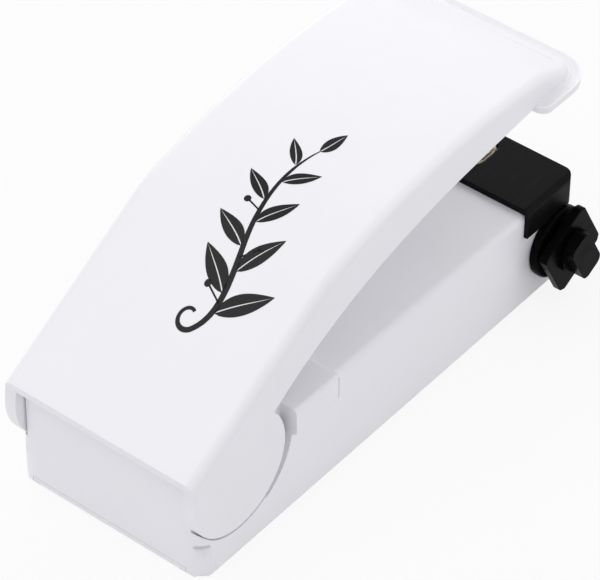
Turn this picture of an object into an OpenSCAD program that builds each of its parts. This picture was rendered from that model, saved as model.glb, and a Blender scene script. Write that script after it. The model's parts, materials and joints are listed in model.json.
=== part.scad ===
// Hand-held bag heat sealer: a battery base with a heated jaw and a hinged press lever.
// Millimetres. +X points to the jaw, +Y to the left side, +Z up.
// The origin lies on the underside, straight below the hinge axis.

/* [Base] */
// Length of the room ahead of the cells, for the heater and the safety switch
front_room_len = 11.7; // [11.4:0.1:14]
// Room for the wires between a cell and the side wall
side_room = 3.45; // [3.3:0.05:6]
// Height of the deck above the underside
deck_z = 21.2; // [20.8:0.1:22.5]
// Height of the joint between the tray and the housing
tray_h = 7.4; // [6.6:0.1:8]
// Wall thickness of the tray and the housing
wall = 1.8; // [1.4:0.1:2.2]
// Thickness of the front wall
front_wall = 1.6; // [1.4:0.1:1.8]
// Radius of the base's upright rear corners
base_corner_r = 4; // [2:0.5:6]
// Radius of the base's upright front corners
front_corner_r = 1.5; // [1:0.1:2.5]
// Radius along the edges of the deck
deck_edge_r = 1.5; // [0.8:0.1:1.7]

/* [Hinge] */
// Distance from the rear wall forward to the hinge axis
hinge_setback = 9.5; // [8.5:0.1:10]
// Height of the hinge axis
hinge_z = 17.6; // [17:0.1:18]
// Angle that the lever closes through
open_angle = 13; // [8:1:13]
// Radius of the lever's round ears
ear_r = 11.4; // [10.5:0.1:11.6]
// Gap round the ears in the base
ear_gap = 0.4; // [0.3:0.05:0.6]
// Gap between an ear and the neck of the base
side_gap = 0.3; // [0.3:0.05:0.5]
// Radius of the moulded hinge pegs
peg_r = 2.5; // [2:0.1:3]
// Length of a hinge peg
peg_len = 3.4; // [2.8:0.1:3.6]

/* [Lever] */
// Thickness of the lever's roof
roof_t = 1.8; // [1.4:0.1:2.2]
// Thickness of the lever's skirts and ears
skirt_t = 2.3; // [1.8:0.1:2.5]
// Radius along the lever's long top edges
lever_edge_r = 2; // [1:0.1:2.2]
// Rise of the lever's rear edge above the hinge axis
rear_rise = 7.9; // [7.6:0.1:8.6]
// Reach of the lever's nose ahead of the base
nose_reach = 4.86; // [4:0.02:7]
// Height of the closed lever's nose above the deck
nose_rise = 2.85; // [2.8:0.01:4]
// Radius of the bend ahead of the straight part
bend_r = 24; // [20:1:40]
// Angle of that bend
bend_turn = 15; // [12:0.5:16]
// Radius of the long front arch
arch_r = 140; // [130:1:150]
// Angle of the front arch
arch_turn = 21.5; // [19:0.5:23]
// Radius of the crease where the nose drops
crease_r = 14; // [13.5:0.5:20]
// Angle of that crease
crease_turn = 17; // [12:1:20]
// Length of the sloping nose
nose_run = 7.5; // [6:0.1:8.5]
// Thickness of the rim round the nose
brim_t = 1.3; // [1:0.1:1.6]
// Reach of the rim beyond the skirts
brim_reach = 2.3; // [1:0.1:3]
// Length of the rim along each side
brim_len = 14.5; // [10:0.5:18]
// Corner radius of the rim
brim_corner_r = 6.5; // [4:0.5:8]

/* [Jaw] */
// Length of the black jaw cover along the base
cover_len = 13.8; // [12.5:0.1:15]
// Thickness of the jaw cover's plate
cover_t = 1.2; // [0.8:0.1:1.4]
// Thickness of the jaw cover's side flanges
flange_t = 0.8; // [0.6:0.1:1]
// Height of the flanges below the deck
flange_drop = 4.9; // [3:0.1:6]
// Distance from the base's front face back to the middle of the heater
heater_setback = 4.9; // [4.7:0.1:5.2]
// Length of the jaw cover's window across the base
window_w = 13.8; // [11:0.2:18]
// Width of the window along the base
window_len = 8.6; // [7.6:0.1:9]
// Corner radius of the window
window_r = 3; // [1:0.5:3.5]
// Width of the rubber press pad
pad_len = 5.6; // [4:0.2:6.4]
// Thickness of the rubber press pad
pad_t = 1.8; // [1.2:0.1:2.2]
// Gap left between the closed pad and the jaw cover
film_gap = 0.4; // [0.3:0.05:0.8]

/* [Knob] */
// Distance from the base's front face back to the knob's axis
knob_setback = 3.9; // [3.8:0.1:4.2]
// Height of the knob's axis
knob_z = 10.2; // [9.6:0.1:10.6]
// Radius of the fixed round bezel
bezel_r = 6.8; // [6:0.1:8]
// Thickness of the bezel
bezel_t = 1.8; // [1:0.1:2.4]
// Side of the knob's square plate
plate_side = 12.4; // [9:0.1:13]
// Radius that rounds the plate's corners off
plate_r = 8.1; // [6:0.1:8.6]
// Thickness of the plate
plate_t = 1.6; // [1:0.1:2.4]
// Length of the grip bar
grip_len = 10; // [7:0.5:12]
// Width of the grip bar
grip_w = 5.4; // [4:0.1:6.5]
// Height of the grip bar
grip_t = 2; // [1.5:0.1:3.5]
// Radius of the knob's shaft
shaft_r = 1.6; // [1.2:0.1:1.7]

/* [Battery bay] */
// Diameter of a cell
cell_d = 14.5; // [14:0.1:14.5]
// Length of a cell with its cap
cell_len = 50.5; // [49:0.1:51]
// Distance between the cells' axes
cell_pitch = 15; // [14.6:0.1:15.6]
// Length of a seated cell spring
cell_spring_len = 4.1; // [3.6:0.1:5]
// Thickness of the battery door
door_t = 1.6; // [1.2:0.1:1.8]

/* [Springs and switch] */
// Distance ahead of the hinge axis of the return spring and the plunger
spring_x = 11; // [10:0.1:11.6]
// Outer radius of the return spring
spring_r = 3.9; // [3:0.1:4]
// Wire radius of the return spring
spring_wire_r = 0.4; // [0.3:0.05:0.5]
// Radius of the switch plunger's stem
plunger_r = 1.8; // [1.4:0.1:2]
// Travel of the switch plunger
plunger_travel = 1.5; // [1:0.1:1.6]
// Rise of the plunger above the deck
plunger_rise = 2.2; // [1.8:0.1:2.4]

/* [Hidden] */
$fn = 48;

// Colours
white = [0.95, 0.95, 0.96];
black = [0.1, 0.1, 0.1];
brass = [0.8, 0.65, 0.35];
steel = [0.75, 0.76, 0.78];
eps = 0.01;
touch = 0.1;      // clearance of parts that slide past or slip into each other
run_fit = 0.06;   // radial clearance of turning and sliding shafts
free_gap = 0.3;   // least gap to a part of another body

// Cells side by side set the width of the base and the length of the battery bay
cell_r = cell_d / 2;
plate_gauge = 0.4;
bulkhead_t = 1.2;
well_r = spring_r + 0.5;
well_wall = 1;
well_gap = 1;
bay_x0 = spring_x + well_r + well_wall + well_gap + bulkhead_t;
bay_x1 = bay_x0 + cell_len + cell_spring_len + 2 * plate_gauge;
front_room_x = bay_x1 + bulkhead_t;
front_inner = front_room_x + front_room_len;

// Base
rear_x = -hinge_setback;
front_x = front_inner + front_wall;
base_len = front_x - rear_x;
base_w = cell_pitch + cell_d + 2 * (side_room + wall);
lever_w = base_w;
half_w = base_w / 2;
neck_half = lever_w / 2 - skirt_t - side_gap;
neck_inner = neck_half - wall;
ceiling_z = deck_z - wall;
recess_r = ear_r + ear_gap;
saddle_x = recess_r - 0.5;
saddle_len = 13.4;
saddle_rise = 1.2;
saddle_drop = 4.4;
saddle_proud = 1;
saddle_inner = half_w - 7;
wide_x = saddle_x + 2;          // where the inside widens ahead of the ear recesses
inner_half = half_w - wall;
boss_r = 2;
tray_boss_r = 3;
tray_boss_h = 3.6;
head_r = 1.7;
head_h = 1.2;
head_sink = 1.6;
screw_r = 0.8;
screw_len = 9;
rear_screw_inset = 5;
front_screw_inset = 8.5;
rear_screw_x = rear_x + rear_screw_inset;
rear_screw_y = neck_inner - 5.6;
front_screw_x = front_x - front_screw_inset;
front_screw_y = inner_half - 5;
peg_boss_r = peg_r + 1.7;
far = 200;                      // longer than anything that it cuts

// Battery bay
door_half = cell_pitch / 2 + cell_r + 0.25;
tongue_half = door_half + 1.4;
tongue_t = 0.8;
lip_t = door_t - tongue_t - touch;
shelf_z0 = door_t + touch;
shelf_t = 0.9;
shelf_z1 = shelf_z0 + shelf_t;
door_x1 = bay_x1 - touch;
cell_z = shelf_z1 + cell_r - 0.4;
cell_body_len = cell_len - 1.3;
cap_r = 2.7;
rib_t = 1.6;
rib_inset = 9;
rib_drop = 5;
cradle_gap = 0.1;
plate_half = cell_pitch / 2 + 5.5;
plate_z0 = 4.5;
plate_z1 = 14.5;
tail_y = plate_half - 2.8;
tail_half = 1;
tail_z = 13.6;

// Heater
heater_x = front_x - heater_setback;
land_margin = 0.4;
block_half = window_w / 2 + 3.9;
block_t = 3.4;
land_z = deck_z + cover_t - 0.3;
strip_t = 0.2;
strip_w = 2.4;
strip_half = window_w / 2 - land_margin - 0.3;
strip_end_z = ceiling_z - block_t - 1.4;
tape_t = 0.15;
tape_w = 4.8;
clamp_w = 3.2;
clamp_t = 1.4;
clamp_h = 2.6;
cover_x0 = front_x + cover_t - cover_len;

// Knob
knob_x = front_x - knob_setback;
knob_turn = 28;
hub_r = 4;
hub_t = 0.9;
plate_y = half_w + bezel_t + free_gap;
grip_y = plate_y + hub_t + plate_t + hub_t;
knob_depth = grip_y + grip_t;
shaft_boss_r = shaft_r + 1.6;
shaft_boss_depth = 5;
arm_inset = 5.2;
shaft_boss_y = half_w - shaft_boss_depth;
arm_y = shaft_boss_y - arm_inset;
arm_len = 6.6;
arm_t = 0.8;
eye_r = shaft_r + 0.45;
clip_r = 2.2;
clip_t = 0.6;
shaft_tip_y = arm_y - arm_t - 1.2;
finger_half = 2;
finger_rise = 3;
leaf_half = 1.5;

// Return spring and switch
well_floor_z = 8;
seat_z = deck_z + 4.3;
seat_r = spring_r - 0.3;
spigot_r = spring_r - 2 * spring_wire_r - 0.8;
spigot_len = 4;
switch_y = well_r + well_wall + 4.3;
foot_r = 3.9;
foot_t = 1.2;
guide_drop = 1.5;
guide_wall = 1.5;
foot_z = ceiling_z - guide_drop;
bridge_z = foot_z - foot_t;
bridge_t = 0.5;
tab_t = 0.5;
tab_z = bridge_z - bridge_t - plunger_travel - free_gap;
plunger_spring_r = 1.9;
plunger_wire_r = 0.25;
pocket_r = plunger_spring_r + 0.3;
pocket_z = 6;
plunger_top_z = deck_z + plunger_rise;

// Lever outline, with the lever closed, from the hinge axis: a straight, a bend, an arch,
// a crease and the nose. Each corner is [x, z] and each heading an angle above level.
function ahead(p, a, d) = [p[0] + d * cos(a), p[1] + d * sin(a)];
function centre(p, a, r) = [p[0] + r * sin(a), p[1] - r * cos(a)];
function turned(p, a, r, t) = let (c = centre(p, a, r)) [c[0] - r * sin(a - t), c[1] + r * cos(a - t)];
// The front parts keep their shape. The straight part's length and slope then bring the nose
// to its place over the jaw.
lever_overhang = 0.5;
lever_rear = [rear_x - lever_overhang, rear_rise];
nose_place = [front_x + nose_reach, deck_z + nose_rise - hinge_z];
front_chord = ahead(turned(turned(turned([0, 0], 0, bend_r, bend_turn), -bend_turn, arch_r, arch_turn),
    -bend_turn - arch_turn, crease_r, crease_turn), -bend_turn - arch_turn - crease_turn, nose_run);
whole = nose_place - lever_rear;
rear_run = sqrt(whole * whole - pow(front_chord[1], 2)) - front_chord[0];
a_rear = atan2(whole[1], whole[0]) - atan2(front_chord[1], rear_run + front_chord[0]);
a_arch = a_rear - bend_turn;
a_crease = a_arch - arch_turn;
a_nose = a_crease - crease_turn;
p_bend = ahead(lever_rear, a_rear, rear_run);
p_arch = turned(p_bend, a_rear, bend_r, bend_turn);
p_crease = turned(p_arch, a_arch, arch_r, arch_turn);
p_nose = turned(p_crease, a_crease, crease_r, crease_turn);
p_tip = ahead(p_nose, a_nose, nose_run);
nose_round = brim_corner_r - brim_reach;
brim_front = 1.7;
// Lower edge of the skirts: where it leaves the ear, its slopes there and at the rim
skirt_start = 27.7;
skirt_a = ear_r * [cos(skirt_start), sin(skirt_start)];
skirt_rise = 0.4;
skirt_fall = 0.133;
brim_back = brim_len - brim_front;
skirt_d = [p_tip[0] - brim_back, p_tip[1] + brim_back * tan(open_angle) - 0.58 * brim_t];

// Smaller details
press_gap = 0.02;
tray_edge_r = 1;
thumb_x = rear_x + 4;
thumb_step = 2;
thumb_w = 1;
thumb_half = 6;
thumb_depth = 0.5;
cell_gap_half = 1.5;
tail_reach = 1.4;
cell_spring_r = 3;
cell_wire_r = 0.35;
block_depth = 3;
tab_half = 1.5;
tab_low_z = 7;
dome_h = 0.8;
dome_r = 2.4;
bridge_hole_r = 1.2;
grip_corner_r = 1.5;
shaft_bite = 1.2;
clip_bite = 0.3;
clip_mouth = 0.9;
arm_half = 1;
brim_bar = 3;
rib_half = 2;
mount_half = 3.2;
lip_w = 1.1;
holder_end = 3.2;
holder_gap = 0.5;
pad_sink = 0.9;
pad_w = lever_w - 2 * (skirt_t + holder_gap + holder_end);
pad_z0 = deck_z + cover_t + film_gap;
pad_z1 = pad_z0 + pad_t;
holder_top = pad_z1 + 1.4;
pad_screw_y = pad_w / 2 + 1.7;
pad_screw_r = 0.6;
pad_head_r = 1.1;
pad_head_h = 0.8;

// Wires
wire_r = 0.65;
tube_sides = 8;
wall_wire_y = inner_half - 1.6;
wire_z = 10;
clamp_y = strip_half + clamp_t / 2;
clamp_low = ceiling_z - block_t - clamp_h;
tab_reach = foot_r + plate_gauge + touch + wire_r;
arm_mid_y = -arm_y + arm_t / 2;
leaf_y = -shaft_tip_y + free_gap;
tail_end = front_room_x + tail_reach;
clamp_x = heater_x - clamp_w / 2;
heater_wire = [[tail_end + 2 * touch, -tail_y, tail_z + plate_gauge / 2],
    [tail_end + 1.8, -tail_y + 0.5, tail_z + plate_gauge / 2], [clamp_x - 1.8, -clamp_y - 0.5, clamp_low + 1.2],
    [clamp_x - 2 * touch, -clamp_y, clamp_low + 1.3]];
jumper_wire = [[heater_x, clamp_y, clamp_low - touch], [heater_x - 0.2, clamp_y - 0.3, clamp_low - 1.8],
    [heater_x - 1.6, clamp_y - 2.9, 8], [heater_x - 3, -1, 5], [knob_x - 3, leaf_y + 2.4, 4],
    [knob_x - 0.2, leaf_y + plate_gauge + touch + wire_r, 4]];
switch_wire = [[spring_x - tab_reach, switch_y - 0.3, 9], [spring_x - 7, 6, 7], [spring_x - 9, 0, 6],
    [spring_x - 8, -8, 7], [spring_x - 2, -neck_inner + 3.2, 9], [wide_x + 2.1, -neck_inner + 1.4, wire_z],
    [bay_x0 + 2.4, -wall_wire_y, wire_z], [(bay_x0 + bay_x1) / 2, -wall_wire_y, wire_z],
    [bay_x1 - 4, -wall_wire_y, wire_z], [front_room_x, -wall_wire_y + 0.4, wire_z],
    [front_room_x + 1.2, arm_mid_y - finger_half - 2.6, wire_z],
    [front_room_x + 1.2, arm_mid_y - finger_half - touch - wire_r, wire_z]];
return_wire = [[spring_x + tab_reach, switch_y, 9], [spring_x + tab_reach - 0.1, wall_wire_y - 3.2, 9],
    [spring_x + tab_reach + 0.1, wall_wire_y - 0.8, 9.4], [bay_x0 + 0.6, wall_wire_y, wire_z],
    [(bay_x0 + bay_x1) / 2, wall_wire_y, wire_z], [bay_x1 - 8, wall_wire_y, wire_z],
    [bay_x1 - plate_gauge - touch, wall_wire_y - 0.5, wire_z]];

// Shared shapes ----------------------------------------------------------------------------

// Box from x0 to x1 and z0 to z1, reaching half to each side of the middle
module bar(x0, x1, half, z0, z1) {
    translate([x0, -half, z0]) cube([x1 - x0, 2 * half, z1 - z0]);
}

// Box between two corners
module block(a, b) {
    translate(a) cube(b - a);
}

// Rectangle with round corners, centred
module round_rect(w, h, r) {
    square([w - 2 * r, h], center = true);
    square([w, h - 2 * r], center = true);
    for (sx = [-1, 1], sy = [-1, 1]) translate([sx * (w / 2 - r), sy * (h / 2 - r)]) circle(r);
}

// Prism along X with a cross-section drawn as [y, z]
module along_x(x0, x1) {
    translate([x0, 0, 0]) rotate([90, 0, 90]) linear_extrude(x1 - x0) children();
}

// Prism along Y with a side view drawn as [x, z]
module along_y(y0, y1) {
    translate([0, y1, 0]) rotate([90, 0, 0]) linear_extrude(y1 - y0) children();
}

// Cylinder along Y
module rod_y(x, z, r, y0, y1) {
    translate([x, y1, z]) rotate([90, 0, 0]) cylinder(r = r, h = y1 - y0);
}

module at_sides() {
    children();
    mirror([0, 1, 0]) children();
}

// Tube swept along a path of points
function unit(v) = v / norm(v);
function tangent(p, i) = unit(p[min(i + 1, len(p) - 1)] - p[max(i - 1, 0)]);
function side_of(t) = unit(cross(t, abs(t[2]) > 0.9 ? [0, 1, 0] : [0, 0, 1]));
module tube(path, r, sides) {
    n = len(path);
    points = [for (i = [0:n - 1]) let (t = tangent(path, i), u = side_of(t), v = cross(t, u))
        for (k = [0:sides - 1]) path[i] + r * (cos(k * 360 / sides) * u + sin(k * 360 / sides) * v)];
    rings = [for (i = [0:n - 2], k = [0:sides - 1]) let (a = i * sides + k, b = i * sides + (k + 1) % sides)
        each [[a, b, b + sides], [a, b + sides, a + sides]]];
    first = [[for (k = [sides - 1:-1:0]) k]];
    last = [[for (k = [0:sides - 1]) (n - 1) * sides + k]];
    polyhedron(points, concat(rings, first, last), convexity = 6);
}

// Smooth path through hand-set points
function smooth_at(p, i, t) = let (a = p[max(i - 1, 0)], b = p[i], c = p[i + 1], d = p[min(i + 2, len(p) - 1)])
    0.5 * (2 * b + (c - a) * t + (2 * a - 5 * b + 4 * c - d) * t * t + (3 * b - a - 3 * c + d) * t * t * t);
function smooth(p, steps) = concat([for (i = [0:len(p) - 2], j = [0:steps - 1]) smooth_at(p, i, j / steps)],
    [p[len(p) - 1]]);

// Coil spring standing on z0, with closed ends. d is one turn's share of the turns, e of the height.
function coil_rise(u, d, e) = u < d ? e * u / d : u > 1 - d ? 1 - e * (1 - u) / d :
    e + (u - d) * (1 - 2 * e) / (1 - 2 * d);
module coil(z0, z1, r, wire, turns) {
    steps = 12 * turns;
    h = z1 - z0 - 2 * wire;
    end_rise = 2.3 * wire / h;
    tube([for (i = [0:steps]) let (a = i * 360 / 12) [(r - wire) * cos(a), (r - wire) * sin(a),
        z0 + wire + h * coil_rise(i / steps, 1 / turns, end_rise)]], wire, 6);
}

// Where the base screws stand: x, y and the underside of the tray's boss
screw_places = [[rear_screw_x, rear_screw_y, shelf_z0], [rear_screw_x, -rear_screw_y, shelf_z0],
    [front_screw_x, front_screw_y, 0], [front_screw_x, -front_screw_y, 0]];

// Base -------------------------------------------------------------------------------------

module base_outline() {
    rear_part = base_len - 2 * front_corner_r;
    front_part = base_len - 2 * base_corner_r;
    translate([rear_x + rear_part / 2, 0]) round_rect(rear_part, base_w, base_corner_r);
    translate([front_x - front_part / 2, 0]) round_rect(front_part, base_w, front_corner_r);
}

// Round recesses beside the neck, open upwards and to the rear
module ear_recesses() {
    at_sides() along_y(neck_half, far) {
        translate([0, hinge_z]) circle(recess_r);
        translate([-far, hinge_z]) square([far, far]);
        translate([-eps, hinge_z]) square([recess_r + eps, far]);
    }
}

module saddle() {
    at_sides() block([saddle_x, saddle_inner, deck_z - eps],
        [saddle_x + saddle_len, half_w + saddle_proud, deck_z + saddle_rise]);
    at_sides() block([saddle_x, half_w - wall, deck_z - saddle_drop],
        [saddle_x + saddle_len, half_w + saddle_proud, deck_z + saddle_rise]);
}

module housing_outer() {
    intersection() {
        translate([0, 0, tray_h]) linear_extrude(deck_z - tray_h) base_outline();
        along_x(rear_x, front_x) translate([0, deck_z - base_w / 2]) round_rect(base_w, base_w, deck_edge_r);
    }
    saddle();
}

module housing_inside() {
    bar(rear_x + wall, wide_x + eps, neck_inner, 0, ceiling_z);
    bar(wide_x, front_inner, inner_half, 0, ceiling_z);
}

// Ribs, bulkheads, bosses and the spring well that hang from the deck
module housing_ribs() {
    bar(bay_x0 - bulkhead_t, bay_x0, door_half - 0.2, shelf_z1 + touch, ceiling_z + eps);
    bar(bay_x1, front_room_x, door_half - 0.2, wall + touch, ceiling_z + eps);
    for (x = [bay_x0 + rib_inset, bay_x1 - rib_inset - rib_t])
        bar(x, x + rib_t, inner_half + eps, ceiling_z - rib_drop, ceiling_z + eps);
    for (p = screw_places)
        translate([p[0], p[1], p[2] + tray_boss_h])
            cylinder(r = boss_r, h = ceiling_z - p[2] - tray_boss_h + eps);
    translate([spring_x, 0, well_floor_z - well_wall])
        cylinder(r = well_r + well_wall, h = ceiling_z - well_floor_z + well_wall + eps);
    translate([spring_x, switch_y, foot_z]) cylinder(r = plunger_r + guide_wall, h = guide_drop + eps);
    at_sides() intersection() {
        rod_y(0, hinge_z, peg_boss_r, neck_half - peg_len - 0.2, neck_half - eps);
        bar(-far, far, far, 0, ceiling_z + eps);
    }
    rod_y(knob_x, knob_z, shaft_boss_r, -inner_half - eps, -shaft_boss_y);
}

module window_shape(grow) {
    translate([heater_x, 0]) round_rect(window_len + 2 * grow, window_w + 2 * grow, window_r + grow);
}

module base_housing() {
    color(white) difference() {
        union() {
            difference() {
                housing_outer();
                housing_inside();
            }
            intersection() {
                housing_ribs();
                bar(rear_x + wall - eps, front_inner + eps, inner_half + eps, 0, ceiling_z + eps);
            }
        }
        ear_recesses();
        translate([spring_x, 0, well_floor_z]) cylinder(r = well_r, h = far);
        translate([spring_x, switch_y, 0]) cylinder(r = plunger_r + run_fit, h = far);
        translate([0, 0, ceiling_z - eps]) linear_extrude(far) window_shape(touch - land_margin);
        at_sides() rod_y(0, hinge_z, peg_r + run_fit, neck_half - peg_len - 1, far);
        rod_y(knob_x, knob_z, shaft_r + run_fit, -far, -shaft_boss_y + 1);
        for (s = [-1, 1])
            translate([bay_x0, s * cell_pitch / 2, cell_z]) rotate([0, 90, 0])
                cylinder(r = cell_r + cradle_gap, h = bay_x1 - bay_x0);
        block([bay_x1 - eps, -tail_y - tail_half - touch, tail_z - touch],
            [front_room_x + eps, -tail_y + tail_half + touch, tail_z + plate_gauge + touch]);
        for (p = screw_places) translate([p[0], p[1], 0]) cylinder(r = screw_r, h = p[2] + screw_len + 1);
    }
}

// Tray, full width, with its long lower edges and its end edges rounded
module tray_outer() {
    edge = 2 * tray_edge_r;
    intersection() {
        linear_extrude(tray_h) base_outline();
        along_x(rear_x, front_x) translate([0, base_w / 2]) round_rect(base_w, base_w, tray_edge_r);
        along_y(-half_w - edge, half_w + edge)
            translate([rear_x + base_len / 2, base_len / 2]) round_rect(base_len, base_len, tray_edge_r);
    }
}

module door_slot(gap) {
    bar(rear_x - far, door_x1 + gap, door_half + gap, -1, door_t + gap);
    bar(rear_x - far, door_x1 + gap, tongue_half + gap, lip_t + touch - gap, door_t + gap);
}

module base_tray() {
    color(white) difference() {
        union() {
            difference() {
                tray_outer();
                bar(rear_x + wall, wide_x + eps, neck_inner, shelf_z1, far);
                bar(wide_x, bay_x1 + eps, inner_half, shelf_z1, far);
                bar(bay_x1, front_inner, inner_half, wall, far);
                bar(bay_x0, bay_x1, door_half + touch, -1, far);
            }
            for (p = screw_places) translate(p) cylinder(r = tray_boss_r, h = tray_boss_h);
        }
        door_slot(touch);
        ear_recesses();
        for (p = screw_places) translate([p[0], p[1], p[2] - eps]) {
            cylinder(r = head_r + touch, h = head_sink + eps);
            cylinder(r = screw_r + touch, h = far);
        }
    }
}

module battery_door() {
    color(white) difference() {
        intersection() {
            door_slot(0);
            tray_outer();
        }
        for (i = [0:2])
            bar(thumb_x + i * thumb_step, thumb_x + i * thumb_step + thumb_w, thumb_half, -eps, thumb_depth);
    }
}

module base_screws() {
    color(steel) for (p = screw_places) translate([p[0], p[1], p[2] + head_sink - head_h]) {
        difference() {
            cylinder(r = head_r, h = head_h);
            for (a = [0, 90]) rotate(a) translate([-1, -0.2, -eps]) cube([2, 0.4, 0.6]);
        }
        translate([0, 0, head_h - eps]) cylinder(r = screw_r - eps, h = screw_len - head_h);
    }
}

// Jaw --------------------------------------------------------------------------------------

module jaw_cover() {
    outer_half = half_w + flange_t;
    top_z = deck_z + cover_t;
    low_z = deck_z - flange_drop;
    nose_x = front_x + cover_t;
    color(black) difference() {
        intersection() {
            along_x(cover_x0, nose_x) translate([0, top_z - outer_half])
                round_rect(2 * outer_half, 2 * outer_half, cover_t);
            translate([0, 0, low_z]) linear_extrude(far)
                translate([nose_x - base_len / 2, 0])
                    round_rect(base_len, 2 * outer_half, front_corner_r + flange_t);
        }
        bar(cover_x0 - 1, front_x, half_w, 0, deck_z);
        linear_extrude(far) window_shape(0);
        rod_y(knob_x, knob_z, bezel_r + touch, -far, -half_w);
    }
}

module leg_slots(gap) {
    at_sides() block([heater_x - strip_w / 2 - gap, strip_half - strip_t - gap, 0],
        [heater_x + strip_w / 2 + gap, strip_half + gap, far]);
}

module heater_block() {
    color([0.93, 0.92, 0.88]) difference() {
        union() {
            bar(front_room_x, front_inner, block_half, ceiling_z - block_t, ceiling_z);
            translate([0, 0, ceiling_z - eps]) linear_extrude(land_z - ceiling_z + eps)
                window_shape(-land_margin);
        }
        leg_slots(touch / 2);
    }
}

module heating_strip() {
    x0 = heater_x - strip_w / 2;
    color([0.55, 0.53, 0.5]) {
        bar(x0, x0 + strip_w, strip_half, land_z, land_z + strip_t);
        at_sides() block([x0, strip_half - strip_t, strip_end_z], [x0 + strip_w, strip_half, land_z + eps]);
    }
}

module heat_tape() {
    z0 = land_z + strip_t;
    color([0.67, 0.55, 0.42]) bar(heater_x - tape_w / 2, heater_x + tape_w / 2, strip_half, z0, z0 + tape_t);
}

module strip_clamps() {
    z1 = ceiling_z - block_t;
    color(brass) at_sides()
        block([heater_x - clamp_w / 2, strip_half, z1 - clamp_h],
            [heater_x + clamp_w / 2, strip_half + clamp_t, z1]);
}

// Cells and their contacts -----------------------------------------------------------------

module cell(x, y, dir) {
    color([0.25, 0.3, 0.35]) translate([x, y, cell_z]) rotate([0, 90 * dir, 0]) {
        cylinder(r = cell_r, h = cell_body_len);
        cylinder(r = cap_r, h = cell_len);
    }
}

module cell_left() {
    cell(bay_x1 - plate_gauge - cell_spring_len, cell_pitch / 2, -1);
}

module cell_right() {
    cell(bay_x0 + plate_gauge + cell_spring_len, -cell_pitch / 2, 1);
}

module rear_bridge_contact() {
    color(brass) bar(bay_x0, bay_x0 + plate_gauge, plate_half, plate_z0, plate_z1);
}

module front_positive_contact() {
    color(brass) {
        block([bay_x1 - plate_gauge, -plate_half, plate_z0], [bay_x1, -cell_gap_half, plate_z1]);
        block([bay_x1 - eps, -tail_y - tail_half, tail_z],
            [tail_end, -tail_y + tail_half, tail_z + plate_gauge]);
    }
}

module front_negative_contact() {
    color(brass) block([bay_x1 - plate_gauge, cell_gap_half, plate_z0], [bay_x1, wall_wire_y, plate_z1]);
}

// Cell spring along +X from the plate at x
module cell_spring(x, y, dir) {
    color(steel) translate([x, y, cell_z]) rotate([0, 90 * dir, 0])
        coil(0, cell_spring_len, cell_spring_r, cell_wire_r, 3);
}

module rear_cell_spring() {
    cell_spring(bay_x0 + plate_gauge, -cell_pitch / 2, 1);
}

module front_cell_spring() {
    cell_spring(bay_x1 - plate_gauge, cell_pitch / 2, -1);
}

// Switch under the deck --------------------------------------------------------------------

module switch_block() {
    color([0.9, 0.88, 0.8]) difference() {
        translate([spring_x, switch_y, 0])
            block([-foot_r, -block_depth, shelf_z1], [foot_r, block_depth, tab_z - tab_t]);
        translate([spring_x, switch_y, pocket_z]) cylinder(r = pocket_r, h = far);
    }
}

module switch_contacts() {
    color(brass) translate([spring_x, switch_y, 0]) for (s = [0, 180]) rotate(s) {
        block([pocket_r + touch, -tab_half, tab_z - tab_t], [foot_r + plate_gauge, tab_half, tab_z]);
        block([foot_r, -tab_half, tab_low_z], [foot_r + plate_gauge, tab_half, tab_z - tab_t + eps]);
    }
}

module contact_plunger() {
    color([0.9, 0.9, 0.9]) translate([spring_x, switch_y, 0]) {
        translate([0, 0, bridge_z]) cylinder(r = foot_r, h = foot_t);
        translate([0, 0, foot_z - eps]) cylinder(r = plunger_r, h = plunger_top_z - foot_z - dome_h + eps);
        translate([0, 0, plunger_top_z - dome_h]) intersection() {
            translate([0, 0, dome_h - dome_r]) sphere(dome_r);
            cylinder(r = plunger_r, h = dome_h);
        }
    }
}

module contact_bridge() {
    color(brass) translate([spring_x, switch_y, bridge_z - bridge_t]) difference() {
        cylinder(r = foot_r, h = bridge_t);
        translate([0, 0, -1]) cylinder(r = bridge_hole_r, h = bridge_t + 2);
    }
}

module plunger_spring() {
    color(steel) translate([spring_x, switch_y, 0])
        coil(pocket_z, bridge_z - bridge_t, plunger_spring_r, plunger_wire_r, 7);
}

module return_spring() {
    color(steel) translate([spring_x, 0, 0]) coil(well_floor_z, seat_z, spring_r, spring_wire_r, 7);
}

// Knob -------------------------------------------------------------------------------------

module knob_bezel() {
    color(black) difference() {
        rod_y(knob_x, knob_z, bezel_r, -half_w - bezel_t, -half_w);
        rod_y(knob_x, knob_z, shaft_r + run_fit, -far, 0);
    }
}

module knob_plate() {
    y0 = plate_y + hub_t;
    color(black) difference() {
        union() {
            rod_y(knob_x, knob_z, hub_r, -y0 - eps, -plate_y);
            translate([knob_x, 0, knob_z]) along_y(-y0 - plate_t, -y0) intersection() {
                rotate(knob_turn) square(plate_side, center = true);
                circle(plate_r);
            }
        }
        rod_y(knob_x, knob_z, shaft_r + press_gap, -far, 0);
    }
}

module knob_grip() {
    y0 = grip_y - hub_t;
    color(black) difference() {
        union() {
            rod_y(knob_x, knob_z, hub_r, -grip_y - eps, -y0);
            translate([knob_x, 0, knob_z]) along_y(-knob_depth, -grip_y)
                rotate(knob_turn - 90) round_rect(grip_len, grip_w, grip_corner_r);
        }
        rod_y(knob_x, knob_z, shaft_r + press_gap, -grip_y - shaft_bite, 0);
    }
}

module knob_shaft() {
    groove_y = shaft_boss_y - clip_t - 2 * touch;
    color(steel) {
        rod_y(knob_x, knob_z, shaft_r, -grip_y - shaft_bite, -shaft_boss_y + touch);
        rod_y(knob_x, knob_z, shaft_r - clip_bite, -shaft_boss_y, -groove_y);
        rod_y(knob_x, knob_z, shaft_r, -groove_y - eps, -shaft_tip_y);
    }
}

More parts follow.
